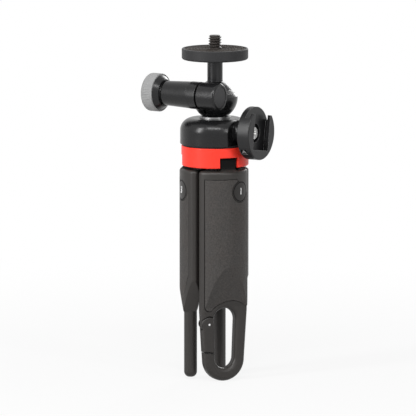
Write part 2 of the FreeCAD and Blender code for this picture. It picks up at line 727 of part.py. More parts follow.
def grip_pad(number):
    """Rubber pad let into the outside of a leg."""
    name = "grip_pad_%d" % number
    bed = layer_in_outline(name, number, Size(0), S.pad_thick, S.pad_seam)
    room = roundel_plug(name + "_room", S.roundel_radius + S.roundel_rim, S.roundel_root)
    pad = combine("Cut", name, bed, room.body)
    pad.Placement = leg_place(number)
    return keep(pad, name)


def roundel(number):
    """Dark disc let into the leg beside the pad's upper corner, flush with the curve."""
    name = "leg_roundel_%d" % number
    skin = leg_form(name + "_skin", number, Size(0))
    disc = combine("Common", name, roundel_plug(name + "_plug", S.roundel_radius, Size(0)).body, skin.body)
    disc.Placement = leg_place(number)
    return keep(disc, name)


def pad_room(number):
    """What is taken out of a leg for its pad and its roundel."""
    name = "leg_%d_room" % number
    bed = layer_in_outline(name, number, Size(-1), S.pad_thick + S.pad_fit, Size(0))
    ring = roundel_plug(name + "_ring", S.roundel_radius + S.roundel_rim - S.pad_seam, S.roundel_root)
    bay = combine("Cut", name + "_bay", bed, ring.body)
    socket = roundel_plug(name + "_socket", S.roundel_radius + S.seat_fit, S.seat_fit)
    return combine("Fuse", name, bay, socket.body)


def knuckle(leg):
    """Tab that rises from the shoulder and turns on the pivot pin."""
    half = S.knuckle_width / 2
    reach = -S.pin_reach
    foot = S.leg_top - S.knuckle_foot
    front = reach - S.knuckle_radius
    hollow_curve = crest_radius(S.knuckle_rise + S.knuckle_dip, S.knuckle_flare)
    tab = [(front - S.knuckle_flare, foot), (reach + S.knuckle_radius, foot),
           (reach + S.knuckle_radius, S.pin_height), (front, S.pin_height),
           (front, S.leg_top + S.knuckle_rise, -hollow_curve),
           (front - S.knuckle_flare, S.leg_top - S.knuckle_dip)]
    leg.pad("YZ", [tab], S.knuckle_width, -half)
    leg.pad("YZ", [circle(reach, S.pin_height, S.knuckle_radius)], S.knuckle_width, -half)
    leg.cut("YZ", [circle(reach, S.pin_height, S.pin_radius + S.running_fit)], S.knuckle_width, -half)


def hollow(leg):
    """Hollow along the inside, open towards the axis."""
    half = S.channel_width / 2
    depth = S.leg_arc_shift + S.leg_arc_radius - S.leg_wall - S.pad_thick
    length = S.channel_top - S.channel_bottom
    leg.cut("XY", [rectangle(-half, -depth, half, 2 - S.leg_core)], length, S.channel_bottom)


def stand_off(leg):
    """Nub on one flank that keeps the folded legs apart."""
    near = (S.nub_reach - S.nub_half) * cosine(flank)
    away = (S.nub_reach + S.nub_half) * cosine(flank)
    lift = S.nub_proud
    nub = [(flank_width(near) - 1, -near), (flank_width(near) + lift, -near),
           (flank_width(away) + lift, -away), (flank_width(away) - 1, -away)]
    leg.pad("XY", [nub], S.nub_length, S.nub_height - S.nub_length / 2)


def is_leg_corner(edge):
    """Outer corners of the leg section, which run the whole height of the grip."""
    reach = curve_corner(S.leg_arc_radius).number
    return is_upright(edge) and abs(edge.BoundBox.YMin + reach) < 0.01


def shoulders(leg):
    """Top edges of a leg, rounded before the knuckle is added."""
    top = S.leg_top.number
    leg.soften(S.leg_edge, lambda edge: edge.BoundBox.ZMin > top - 0.01 and edge.BoundBox.YMin < -S.leg_core.number - 1)


def leg(number):
    """Leg moulding: the slender end or the hook, the grip above it, the hollow inside and the knuckle."""
    moulding = Piece("leg_%d_moulding" % number)
    if number == 1:
        low, inner, outer, rim = S.hook_taper_low, S.hook_inner, S.hook_outer, S.hook_round
        loops = [hook_outline(), loop_slot()]
    else:
        low, inner, outer, rim = S.shoulder_low, S.bar_inner, S.bar_outer, S.bar_round
        loops = [bar_outline()]
    moulding.pad("XZ", loops, outer - inner, inner)
    top = max(loop_edge.BoundBox.ZMax for loop_edge in moulding.body.Shape.Edges)
    moulding.soften(rim, lambda edge: edge.BoundBox.YLength < 0.01 and edge.BoundBox.ZMin < top - 0.01)
    moulding.pad("XY", [leg_section(S.leg_arc_radius)], S.leg_top - low, low)
    moulding.soften(S.leg_corner, is_leg_corner)
    shoulders(moulding)
    for outline in front_trim(number):
        moulding.cut("XZ", [outline], far)
    moulding.cut("YZ", [outer_trim(number, Size(0))], far * 2, -far)
    moulding.cut("YZ", [inner_trim(number)], far * 2, -far)
    hollow(moulding)
    stand_off(moulding)
    knuckle(moulding)
    if number == 1:
        gate_bay(moulding)
    result = combine("Cut", "leg_%d" % number, moulding.body, pad_room(number))
    result.Placement = leg_place(number)
    return keep(result, "leg_%d" % number)


# Gate of the snap hook

hook_middle = (S.hook_inner + S.hook_outer) / 2
gate_inner = S.hook_inner + S.gate_inset
gate_length = S.hook_outer - S.hook_inner - S.gate_inset * 2
spring_start = hook_middle + S.tongue_thick / 2 - S.spring_length - S.running_fit


def chord(radius, offset):
    """Half chord of a circle, at an offset from its centre."""
    return root(radius * radius - offset * offset)


def gate_pivot(radius):
    return circle(S.gate_pivot_side, S.gate_pivot_height, radius)


def gate_outline(play):
    """The gate seen from the front, grown by the play: x sideways, y height."""
    side, high, head = S.gate_pivot_side, S.gate_pivot_height, S.gate_head_radius + play
    edge = S.hook_shift - hook_side(high) - play
    left = S.hook_shift - hook_side(S.gate_foot) - play
    right = gate_right(S.gate_foot, play)
    shoulder = gate_right(high, play)
    foot = S.gate_foot - play
    return [(side, high + head, head), (edge, high + chord(head, side - edge)), (left, foot + S.gate_slope),
            (right, foot), (shoulder, high + chord(head, shoulder - side), head)]


def gate_right(height, play):
    """The gate's side towards the opening, at a height."""
    return S.hook_shift - loop_side(height) + play


def gate_bay(moulding):
    """Room for the forked gate, which leaves a tongue round the pivot, and the seat of the spring."""
    side, high, head = S.gate_pivot_side, S.gate_pivot_height, S.gate_head_radius
    half = S.tongue_thick / 2
    cheek = (S.hook_outer - S.hook_inner) / 2 - half + 1
    outline = gate_outline(S.gate_play)
    open_side = outline[:2] + [(-far, outline[1][1]), (-far, outline[2][1])] + outline[2:]
    moulding.cut("XZ", [open_side], cheek, hook_middle + half)
    moulding.cut("XZ", [open_side], cheek, S.hook_inner - 1)
    right = gate_right(high, S.gate_play)
    web = [(-far, outline[2][1])] + outline[2:4] + [(right, high - chord(head, right - side), -head),
                                                    (side - head, high), (-far, high)]
    moulding.cut("XZ", [web], S.tongue_thick, hook_middle - half)
    moulding.cut("XZ", [gate_pivot(S.gate_pin_radius + S.running_fit)], S.tongue_thick, hook_middle - half)
    moulding.cut("XZ", [gate_pivot(S.spring_radius + S.running_fit)], S.spring_length + 1, spring_start)


def gate():
    """Forked gate, an arm on each side of the tongue."""
    piece = Piece("gate")
    piece.pad("XZ", [gate_outline(Size(0))], gate_length, gate_inner)
    piece.soften(S.gate_round, lambda edge: edge.BoundBox.YLength < 0.01)
    fork = S.tongue_thick + S.tongue_play * 2
    piece.cut("XZ", [gate_pivot(S.gate_head_radius + S.gate_play)], fork, hook_middle - fork / 2)
    piece.cut("XZ", [gate_pivot(S.gate_pin_radius + S.seat_fit)], gate_length, gate_inner)
    piece.keep()


def gate_pin():
    piece = Piece("gate_pin")
    proud = S.gate_pin_proud
    piece.pad("XZ", [gate_pivot(S.gate_pin_radius)], gate_length + proud * 2, gate_inner - proud)
    piece.keep()


def gate_spring():
    """Torsion spring round the rivet, as the sleeve that its turns fill."""
    piece = Piece("gate_spring")
    bore = S.gate_pin_radius + S.running_fit * 2
    piece.pad("XZ", [gate_pivot(S.spring_radius), gate_pivot(bore)], S.spring_length, spring_start)
    piece.keep()


# Leg hinges, hub and collar

def around_axis(name, make, reach, first):
    """One node with a solid for each leg, at a distance from the axis and from a first bearing on."""
    copies = []
    for number in range(round(S.leg_count.number)):
        piece = Piece("%s_%d" % (name, number + 1))
        make(piece)
        outwards = FreeCAD.Placement(V(0, -float(reach), 0), FreeCAD.Rotation())
        copies.append(piece.place(about_z(first + number * 360 / S.leg_count).multiply(outwards)).body)
    group = doc.addObject("Part::Compound", name)
    group.Links = copies
    doc.recompute()
    keep(group, name)


def hinge_pin(piece):
    piece.pad("YZ", [circle(0, S.pin_height, S.pin_radius)], S.pin_length, -S.pin_length / 2)


detent_height = S.pin_height + S.knuckle_radius + S.detent_gap + S.detent_radius
detent_spring_bore = S.detent_radius - S.detent_play - S.detent_spring_wire


def half_disc(centre, radius):
    """Profile of a ball on the Z axis."""
    return [(0, centre - radius, radius), (radius, centre, radius), (0, centre + radius)]


def detent_ball(piece):
    piece.turn(half_disc(detent_height, S.detent_radius))


def detent_spring(piece):
    """Compression spring over a detent ball, as the sleeve that its turns fill."""
    foot = detent_height + chord(S.detent_radius, detent_spring_bore) + S.seat_fit
    rings = [circle(0, 0, S.detent_radius - S.detent_play), circle(0, 0, detent_spring_bore)]
    piece.pad("XY", rings, S.detent_roof - foot, foot)


def hub_screw(piece):
    """Screw from below into a post of the dome, with a round drive socket."""
    low = S.hub_screw_seat - S.hub_screw_head_high
    shank, head = S.hub_screw_radius, S.hub_screw_head
    socket = shank * 0.8
    piece.turn([(0, low + S.socket_deep), (socket, low + S.socket_deep), (socket, low), (head, low),
                (head, S.hub_screw_seat), (shank, S.hub_screw_seat), (shank, S.hub_screw_end),
                (0, S.hub_screw_end)])


def hub():
    """Disc with the slots, pins, detents and screw seats, and the thin flange over the collar."""
    piece = Piece("hub")
    piece.pad("XY", [circle(0, 0, S.collar_radius - S.collar_wall - S.seat_fit)], S.collar_top - S.hub_bottom,
              S.hub_bottom)
    piece.pad("XY", [circle(0, 0, S.shadow_radius)], S.dome_bottom - S.collar_top, S.collar_top)
    half = S.knuckle_width / 2 + S.knuckle_play
    slot = piece.cut("XY", [rectangle(-half, -far, half, -S.slot_root)], S.slot_top - S.hub_bottom, S.hub_bottom)
    piece.around(slot, S.leg_count)
    bore = piece.cut("YZ", [circle(-S.pin_reach, S.pin_height, S.pin_radius + S.seat_fit)], S.pin_length,
                     -S.pin_length / 2)
    piece.around(bore, S.leg_count)
    bore = piece.cut("XY", [circle(0, -S.pin_reach, S.detent_radius + S.detent_play)], S.detent_roof - S.slot_top,
                     S.slot_top)
    piece.around(bore, S.leg_count)
    side = S.hub_screw_reach * sine(flank)
    front = -S.hub_screw_reach * cosine(flank)
    seat = piece.cut("XY", [circle(side, front, S.hub_screw_head + S.hub_screw_play)],
                     S.hub_screw_seat - S.hub_bottom, S.hub_bottom)
    piece.around(seat, S.leg_count)
    bore = piece.cut("XY", [circle(side, front, S.hub_screw_radius + S.hub_screw_play)],
                     S.dome_bottom - S.hub_screw_seat, S.hub_screw_seat)
    piece.around(bore, S.leg_count)
    piece.cut("XY", [circle(0, 0, S.hub_well)], S.hub_well_deep, S.hub_bottom)
    piece.keep()


def is_full_ring(edge):
    """Closed circles about the Z axis, and arcs of them, that lie flat."""
    return edge.BoundBox.ZLength < 0.01 and hasattr(edge.Curve, "Radius")


def collar_ring():
    piece = Piece("collar_ring")
    wide, narrow = S.collar_radius, S.collar_radius - S.collar_wall
    piece.pad("XY", [circle(0, 0, wide), circle(0, 0, narrow)], S.collar_top - S.collar_bottom, S.collar_bottom)
    half = S.notch_width / 2
    notch = piece.cut("XY", [rectangle(-half, -far, half, -S.slot_root)], S.notch_height, S.collar_bottom)
    piece.around(notch, S.leg_count)
    rim = wide.number - 0.01
    piece.soften(S.collar_bevel, lambda edge: is_full_ring(edge) and edge.Curve.Radius > rim, "Chamfer")
    piece.keep()


# Dome and pan bearing

def dome_cover():
    """Cover with a flat and a boss for the cold shoe; its frame has -Y towards the shoe."""
    piece = Piece("dome_cover")
    wide, narrow = S.dome_radius, S.dome_radius - S.dome_wall
    crown = S.dome_top - S.dome_web
    bore = S.spigot_radius + S.running_fit
    piece.turn([(bore, S.dome_bottom), (wide, S.dome_bottom), (wide, S.dome_top - S.dome_round, S.dome_round),
                (wide - S.dome_round, S.dome_top), (bore, S.dome_top)])
    high = S.dome_top - S.dome_bottom
    piece.cut("XY", [rectangle(-far, -far, far, -S.dome_facet)], high, S.dome_bottom)
    inside = S.dome_facet - S.dome_wall
    half = chord(narrow, inside)
    hollow_outline = [(-half, -inside), (half, -inside, narrow), (narrow, Size(0), narrow), (0, narrow, narrow),
                      (-narrow, Size(0), narrow)]
    piece.cut("XY", [hollow_outline], crown - S.dome_bottom, S.dome_bottom)
    turn = flank - S.shoe_bearing
    side = S.hub_screw_reach * sine(turn)
    front = -S.hub_screw_reach * cosine(turn)
    post = piece.pad("XY", [circle(side, front, S.dome_post)], crown - S.dome_bottom + 0.5, S.dome_bottom)
    piece.around(post, S.leg_count)
    piece.pad("XZ", [circle(0, S.shoe_height, S.shoe_boss)], S.shoe_boss_reach - inside, inside)
    hole = piece.cut("XY", [circle(side, front, S.hub_screw_radius + S.seat_fit)],
                     S.hub_screw_end - S.dome_bottom + S.hub_screw_play, S.dome_bottom)
    piece.around(hole, S.leg_count)
    piece.cut("XZ", [circle(0, S.shoe_height, S.shoe_screw_radius + S.seat_fit)],
              S.shoe_boss_reach - inside + 1, inside - 1)
    piece.place(about_z(S.shoe_bearing)).keep()


def pan_ring():
    """Bright bearing ring between the dome and the head."""
    piece = Piece("pan_ring")
    bore = S.spigot_radius + S.running_fit
    piece.pad("XY", [circle(0, 0, S.pan_ring_radius), circle(0, 0, bore)], S.pan_ring_high, S.dome_top)
    piece.keep()


spigot_end = S.dome_top - S.dome_web - S.pan_gap
housing_bottom = S.dome_top + S.pan_ring_high + S.pan_gap


def pan_washer():
    piece = Piece("pan_washer")
    rings = [circle(0, 0, S.pan_washer_radius), circle(0, 0, S.pan_screw_radius + S.seat_fit)]
    piece.pad("XY", rings, S.pan_washer_thick, spigot_end - S.pan_washer_thick)
    piece.place(head_place()).keep()


def pan_screw():
    """Screw from below into the spigot of the head."""
    piece = Piece("pan_screw")
    seat = spigot_end - S.pan_washer_thick
    low = seat - S.pan_screw_head_high
    socket = S.pan_screw_radius * 0.9
    piece.turn([(0, low + S.socket_deep), (socket, low + S.socket_deep), (socket, low), (S.pan_screw_head, low),
                (S.pan_screw_head, seat), (S.pan_screw_radius, seat), (S.pan_screw_radius, S.pan_screw_end),
                (0, S.pan_screw_end)])
    piece.place(head_place()).keep()


# Ball head, in the head frame

ball_seat = S.ball_radius + S.ball_play
liner_outside = ball_seat + S.liner_thick
cap_start = S.boss_end - S.cap_sink - S.cap_thick


def rim_radius(radius):
    """Where the bevel of the cup meets a ball of that radius."""
    drop = S.cup_rim_drop
    return (drop + root(radius * radius * 2 - drop * drop)) / 2


def across_barrel(radius):
    return circle(-S.barrel_offset, S.barrel_height, radius)


def clamp_housing():
    """Cup, spigot and slit barrel in one moulding."""
    piece = Piece("clamp_housing")
    centre, cup = S.ball_height, S.cup_radius
    neck = chord(cup, centre - housing_bottom)
    tip = rim_radius(liner_outside) - 0.3
    piece.turn([(0, spigot_end), (S.spigot_radius, spigot_end), (S.spigot_radius, housing_bottom),
                (neck, housing_bottom, cup), (cup, centre), (cup, centre + S.cup_rim_drop - cup),
                (tip, centre + S.cup_rim_drop - tip), (0, centre + S.cup_rim_drop - tip)])
    piece.pad("YZ", [across_barrel(S.barrel_radius)], S.boss_end + S.ear_end, -S.ear_end)
    end = S.boss_end.number - 0.01
    piece.soften(S.boss_round, lambda edge: edge.BoundBox.XMin > end)
    piece.groove(half_disc(centre, liner_outside + S.seat_fit))
    half = S.slit_width / 2
    piece.cut("XZ", [rectangle(-half, S.slit_floor, half, S.plate_bottom)], far, S.stem_radius)
    piece.cut("YZ", [across_barrel(S.bolt_radius + S.bolt_clearance)], S.ear_end + cap_start, -S.ear_end)
    piece.cut("YZ", [across_barrel(S.bolt_head_radius + S.bolt_clearance)], S.bolt_head_thick,
              cap_start - S.bolt_head_thick)
    piece.cut("YZ", [across_barrel(S.cap_radius + S.seat_fit)], S.cap_thick + S.cap_sink, cap_start)
    piece.cut("XY", [circle(0, 0, S.pan_screw_radius + S.seat_fit)], S.pan_screw_end - spigot_end + S.pan_gap,
              spigot_end)
    piece.place(head_place()).keep()


def ball_liner():
    """Plastic shell between the ball and the cup."""
    piece = Piece("ball_liner")
    centre = S.ball_height
    wide, narrow = rim_radius(liner_outside), rim_radius(ball_seat)
    drop = centre + S.cup_rim_drop
    piece.turn([(0, centre - liner_outside, liner_outside), (liner_outside, centre, liner_outside),
                (wide, drop - wide), (narrow, drop - narrow, -ball_seat), (ball_seat, centre, -ball_seat),
                (0, centre - ball_seat)])
    piece.place(head_place()).keep()


def ball_stem():
    """Ball with its stem, bored for the end of the camera stud."""
    piece = Piece("ball_stem")
    centre, foot = S.ball_height, S.stem_foot_radius
    seat = centre + chord(S.ball_radius, foot)
    bore = S.stud_root_radius + S.running_fit
    top = S.plate_bottom - S.plate_gap
    piece.turn([(0, centre - S.ball_radius, S.ball_radius), (S.ball_radius, centre, S.ball_radius), (foot, seat),
                (foot, seat + S.stem_foot_high), (S.stem_radius, seat + S.stem_foot_high), (S.stem_radius, top),
                (bore, top), (bore, S.stud_root - S.plate_gap), (0, S.stud_root - S.plate_gap)])
    piece.place(head_place()).keep()


def camera_plate():
    piece = Piece("camera_plate")
    wide, edge, bevel = S.plate_radius, S.plate_edge, S.plate_bevel
    floor = S.plate_top - S.plate_recess
    hole, bore = S.stud_neck + S.seat_fit, S.stud_root_radius + S.seat_fit
    piece.turn([(bore, S.plate_bottom), (wide - edge, S.plate_bottom, edge), (wide, S.plate_bottom + edge),
                (wide, S.plate_top - bevel), (wide - bevel, S.plate_top), (wide - S.plate_lip, S.plate_top),
                (wide - S.plate_lip, floor), (hole, floor), (hole, S.plate_seat), (bore, S.plate_seat)])
    piece.place(head_place()).keep()


def plate_pad():
    piece = Piece("plate_pad")
    floor = S.plate_top - S.plate_recess
    rings = [circle(0, 0, S.plate_radius - S.plate_lip - S.seat_fit), circle(0, 0, S.pad_hole)]
    piece.pad("XY", rings, S.plate_recess - S.pad_sink, floor)
    piece.place(head_place()).keep()


def camera_stud():
    """Stud of the camera thread, without the thread's turns, on a plain neck inside the plate."""
    piece = Piece("camera_stud")
    thread, neck, thin, bevel = S.stud_radius, S.stud_neck, S.stud_root_radius, S.stud_bevel
    piece.turn([(0, S.stud_root), (thin, S.stud_root), (thin, S.plate_seat), (neck, S.plate_seat),
                (neck, S.plate_top), (thread, S.plate_top), (thread, S.stud_top - bevel),
                (thread - bevel, S.stud_top), (0, S.stud_top)])
    piece.place(head_place()).keep()


# Barrel pieces, with Z along the barrel and zero at the slit

knob_start = S.sleeve_end + S.knob_gap
grip_start = knob_start + S.knob_cone
grip_end = grip_start + S.knob_grip_length
nut_start = knob_start + S.nut_sink
nut_end = nut_start + S.nut_length
bolt_bore = S.bolt_radius + S.bolt_clearance


def barrel_piece(name, profile):
    piece = Piece(name)
    piece.turn(profile)
    piece.place(barrel_place()).keep()


def knob_sleeve():
    """Sleeve between the clamp and the knob, hollowed where it passes the cup."""
    blank = Piece("knob_sleeve_blank")
    blank.turn([(bolt_bore, -S.sleeve_end), (S.sleeve_tip, -S.sleeve_end), (S.sleeve_root, -S.ear_end),
                (bolt_bore, -S.ear_end)])
    blank.place(barrel_place())
    cup = doc.addObject("Part::Sphere", "knob_sleeve_hollow")
    cup.setExpression("Radius", (S.cup_radius + S.sleeve_gap).text)
    cup.Placement = FreeCAD.Placement(V(0, 0, S.ball_height.number), FreeCAD.Rotation())
    keep(combine("Cut", "knob_sleeve", blank.body, cup), "knob_sleeve")


def thrust_washer():
    outer = S.sleeve_end + S.knob_gap - S.knob_play
    barrel_piece("thrust_washer", [(bolt_bore, -outer), (S.thrust_radius, -outer), (S.thrust_radius, -S.sleeve_end),
                                   (bolt_bore, -S.sleeve_end)])


def clamp_bolt():
    """Bolt from the capped end through the barrel into the nut of the knob."""
    seat = cap_start - S.bolt_head_thick
    barrel_piece("clamp_bolt", [(0, -nut_end), (S.bolt_radius, -nut_end), (S.bolt_radius, seat),
                                (S.bolt_head_radius, seat), (S.bolt_head_radius, cap_start), (0, cap_start)])


def boss_cap():
    end = cap_start + S.cap_thick
    barrel_piece("boss_cap", [(0, cap_start), (S.cap_radius, cap_start), (S.cap_radius, end), (0, end)])


def knob_hub():
    """Core of the knob with its cone, hollow for the nut and the bolt's end."""
    face = grip_end - S.knob_core_sink
    room = nut_end + S.nut_end_gap
    nut = S.nut_radius + S.seat_fit
    barrel_piece("knob_hub", [(bolt_bore, -knob_start), (S.knob_cone_root, -knob_start),
                              (S.knob_cone_rim, -grip_start), (S.knob_core, -grip_start), (S.knob_core, -face),
                              (0, -face), (0, -room), (nut, -room), (nut, -nut_start), (bolt_bore, -nut_start)])


def knob_grip():
    """Knurled ring, without its knurls."""
    bore, wide = S.knob_core + S.seat_fit, S.knob_grip_radius
    soft, bevel = S.knob_grip_round, S.knob_grip_bevel
    barrel_piece("knob_grip", [(bore, -grip_end), (wide - soft, -grip_end, soft), (wide, soft - grip_end),
                               (wide, -grip_start - bevel), (wide - bevel, -grip_start), (bore, -grip_start)])


def knob_nut():
    bore = S.bolt_radius + S.running_fit
    barrel_piece("knob_nut", [(bore, -nut_end), (S.nut_radius, -nut_end), (S.nut_radius, -nut_start),
                              (bore, -nut_start)])


# Cold shoe, in its own frame with -Y outwards and the axis at zero height

shoe_seat = S.shoe_floor - S.shoe_screw_sink - S.shoe_screw_head_thick - S.shoe_washer_gap


def shoe_body():
    """Disc with the T-shaped slot of an accessory shoe, open at the top, and a window in its rim."""
    piece = Piece("shoe_body_blank")
    piece.pad("XZ", [circle(0, 0, S.shoe_radius)], S.shoe_front - S.shoe_back, S.shoe_back)
    piece.soften(S.shoe_edge, lambda edge: True)
    slot, mouth = S.shoe_slot / 2, S.shoe_mouth / 2
    under_lip = S.shoe_front - S.shoe_lip
    piece.cut("XZ", [rectangle(-slot, S.shoe_stop, slot, far)], under_lip - S.shoe_floor, S.shoe_floor)
    piece.cut("XZ", [rectangle(-far, S.shoe_wall_top, far, far)], under_lip - S.shoe_floor, S.shoe_floor)
    piece.cut("XZ", [rectangle(-mouth, S.shoe_stop, mouth, far)], S.shoe_lip + 1, under_lip)
    piece.cut("XZ", [rectangle(-far, S.shoe_lip_top, far, far)], S.shoe_lip + 1, under_lip)
    piece.cut("XZ", [circle(0, 0, S.shoe_counterbore)], S.shoe_floor - shoe_seat, shoe_seat)
    piece.cut("XZ", [circle(0, 0, S.shoe_screw_radius + S.running_fit)], shoe_seat - S.shoe_back, S.shoe_back)
    piece.place(shoe_place())
    window = Piece("shoe_body_window")
    half = S.window_width / 2
    rim = S.shoe_radius
    start = S.shoe_back + S.window_space
    window.pad("XZ", [rectangle(-half, rim - S.window_deep, half, rim + 1)], S.window_long, start)
    lean = FreeCAD.Rotation(V(0, 1, 0), float(S.window_turn))
    window.place(shoe_place().multiply(FreeCAD.Placement(V(), lean)))
    keep(combine("Cut", "shoe_body", piece.body, window.body), "shoe_body")


def shoe_washer():
    piece = Piece("shoe_washer")
    rings = [circle(0, 0, S.shoe_washer_radius), circle(0, 0, S.shoe_screw_radius + S.seat_fit)]
    piece.pad("XZ", rings, S.shoe_back - S.shoe_boss_reach - S.shoe_washer_gap, S.shoe_boss_reach)
    piece.place(shoe_place()).keep()


def shoe_screw():
    """Screw that holds the shoe to the boss of the dome."""
    piece = Piece("shoe_screw")
    head = S.shoe_floor - S.shoe_screw_sink - S.shoe_screw_head_thick
    piece.pad("XZ", [circle(0, 0, S.shoe_screw_radius)], head - S.shoe_screw_root, S.shoe_screw_root)
    piece.pad("XZ", [circle(0, 0, S.shoe_screw_head)], S.shoe_screw_head_thick, head)
    piece.cut("XZ", [circle(0, 0, S.socket_radius)], S.socket_deep,
              head + S.shoe_screw_head_thick - S.socket_deep)
    piece.place(shoe_place()).keep()


for number in range(1, round(S.leg_count.number) + 1):
    leg(number)
    grip_pad(number)
    roundel(number)
gate()
gate_pin()
gate_spring()
around_axis("hinge_pins", hinge_pin, S.pin_reach, Size(0))
around_axis("detent_balls", detent_ball, S.pin_reach, Size(0))
around_axis("detent_springs", detent_spring, S.pin_reach, Size(0))
around_axis("hub_screws", hub_screw, S.hub_screw_reach, flank)
hub()
collar_ring()
dome_cover()
pan_ring()
pan_washer()
pan_screw()
clamp_housing()
ball_liner()
ball_stem()
camera_plate()
plate_pad()
camera_stud()
knob_sleeve()
thrust_washer()
clamp_bolt()
boss_cap()
knob_hub()
knob_grip()
knob_nut()
shoe_body()
shoe_washer()
shoe_screw()

doc.recompute()
for item in doc.Objects:
    if failed(item):
        raise RuntimeError("%s failed" % item.Label)
for name, item in finished:
    if item.Shape.isNull() or not item.Shape.isValid() or not item.Shape.Solids:
        raise RuntimeError("%s has no valid solid" % name)

os.makedirs(OUTPUT, exist_ok=True)
for name, item in finished:
    item.Shape.exportStep("%s/%s.step" % (OUTPUT, name))
    print(name, len(item.Shape.Solids), round(item.Shape.Volume, 1))
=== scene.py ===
"""Mini tripod with folding legs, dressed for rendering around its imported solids.

The scene is laid out as a Blender add-on: the sidebar panel lists one operator for each group of pieces.
Lengths in the profiles are millimetres and become metres when a mesh is made.
"""

import math

import bpy
import bmesh
import numpy as np
from mathutils import Matrix, Vector


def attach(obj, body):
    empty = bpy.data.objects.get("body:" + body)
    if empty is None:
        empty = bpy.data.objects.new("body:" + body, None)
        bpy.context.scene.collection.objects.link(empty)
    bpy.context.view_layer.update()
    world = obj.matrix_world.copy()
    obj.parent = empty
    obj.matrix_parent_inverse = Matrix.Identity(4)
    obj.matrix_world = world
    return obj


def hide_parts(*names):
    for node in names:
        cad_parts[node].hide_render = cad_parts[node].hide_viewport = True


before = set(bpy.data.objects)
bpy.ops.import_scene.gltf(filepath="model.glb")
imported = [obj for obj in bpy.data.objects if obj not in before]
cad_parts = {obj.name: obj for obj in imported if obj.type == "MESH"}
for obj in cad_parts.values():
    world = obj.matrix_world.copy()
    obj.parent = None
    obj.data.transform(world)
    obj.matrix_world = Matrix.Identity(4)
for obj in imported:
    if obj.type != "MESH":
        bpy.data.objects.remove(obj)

bl_info = {
    "name": "Mini tripod",
    "version": (1, 0, 0),
    "blender": (4, 5, 0),
    "location": "View3D > Sidebar > Tripod",
    "description": "Surfaces, finishes and studio of a small folding tripod",
    "category": "Add Mesh",
}

TAU = 2 * math.pi
MM = 0.001
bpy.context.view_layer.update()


# Sizes and colours

def length(label, value, text):
    """A length in millimetres, kept in metres."""
    return bpy.props.FloatProperty(name=label, description=text, default=value * MM, unit="LENGTH",
                                   precision=5)


def colour(label, value, text):
    return bpy.props.FloatVectorProperty(name=label, description=text, default=value, size=3, min=0, max=1,
                                         subtype="COLOR")


class TripodSizes(bpy.types.PropertyGroup):
    """Sizes of the details that the solids leave out."""

    thread_pitch: length("Thread pitch", 1.27, "Rise of the camera thread in one turn")
    thread_depth: length("Thread depth", 0.78, "Depth of the camera thread")
    knurl_count: bpy.props.IntProperty(name="Knurls", description="Ridges round the knob", default=72)
    knurl_depth: length("Knurl depth", 0.22, "Depth of the ridges round the knob")
    rib_pitch: length("Pad ribs", 1.6, "Distance between the rings of the plate's rubber pad")
    rib_depth: length("Pad rib depth", 0.3, "Depth of the grooves of that pad")
    numeral_height: length("Numeral height", 4.6, "Height of the leg numbers")


class TripodColours(bpy.types.PropertyGroup):
    """Colours of the finishes."""

    leg: colour("Legs", (0.024, 0.0215, 0.0198), "Moulded nylon of the legs")
    grip: colour("Grip pads", (0.038, 0.035, 0.033), "Rubber of the grip pads")
    head: colour("Head", (0.008, 0.008, 0.0085), "Black plastic of the head and the dome")
    collar: colour("Collar", (0.80, 0.034, 0.018), "Red collar")
    knurl: colour("Knob ring", (0.24, 0.24, 0.24), "Grey rubber of the knob")
    metal: colour("Blackened metal", (0.022, 0.022, 0.023), "Plate and ball")
    steel: colour("Steel", (0.62, 0.62, 0.62), "Fasteners")
    mark: colour("Markings", (0.84, 0.84, 0.84), "Numbers")
    floor: colour("Floor", (0.62, 0.62, 0.62), "Studio floor")


# Places of the solids, in millimetres and degrees. A bearing b points along (sin b, -cos b)

HEAD_BEARING = 31.5
BARREL_REACH = 11.6
BARREL_HEIGHT = 140.2
SHOE_BEARING = 34.5
SHOE_HEIGHT = 122.1
SHOE_TWIST = 8.5
WINDOW_TWIST = 222.5
WINDOW_REACH = 21.85
WINDOW_RADIUS = 12.55
RIVET_PLACE = (-8.7, -9.4, 28.4)
LEG_SHOULDER = 103.8
LEG_CURVE = 15.2
LEG_CURVE_SHIFT = 2.1
ROUNDEL_SIDE = 6.4
ROUNDEL_HEIGHT = 93.5
ROUNDEL_BEARING = math.degrees(math.asin(ROUNDEL_SIDE / LEG_CURVE))
PLATE_TOP = 162.3
STUD_TOP = 168.7


def turn(degrees, axis):
    return Matrix.Rotation(math.radians(degrees), 4, axis)


def shift(x, y, z):
    return Matrix.Translation((x * MM, y * MM, z * MM))


head_frame = turn(HEAD_BEARING - 90, "Z")
barrel_frame = head_frame @ shift(0, -BARREL_REACH, BARREL_HEIGHT) @ turn(90, "Y")
shoe_frame = turn(SHOE_BEARING, "Z") @ shift(0, 0, SHOE_HEIGHT) @ turn(SHOE_TWIST, "Y")
window_frame = shoe_frame @ turn(WINDOW_TWIST, "Y") @ shift(0, -WINDOW_REACH, WINDOW_RADIUS)
rivet_frame = shift(*RIVET_PLACE) @ turn(90, "X")


def leg_frame(number):
    return turn(120 * (number - 1), "Z")


def roundel_frame(number):
    """Z outwards through the middle of the leg's roundel, on the leg's curve."""
    middle = leg_frame(number) @ shift(0, -LEG_CURVE_SHIFT, ROUNDEL_HEIGHT)
    return middle @ turn(ROUNDEL_BEARING, "Z") @ turn(90, "X")


# Surfaces

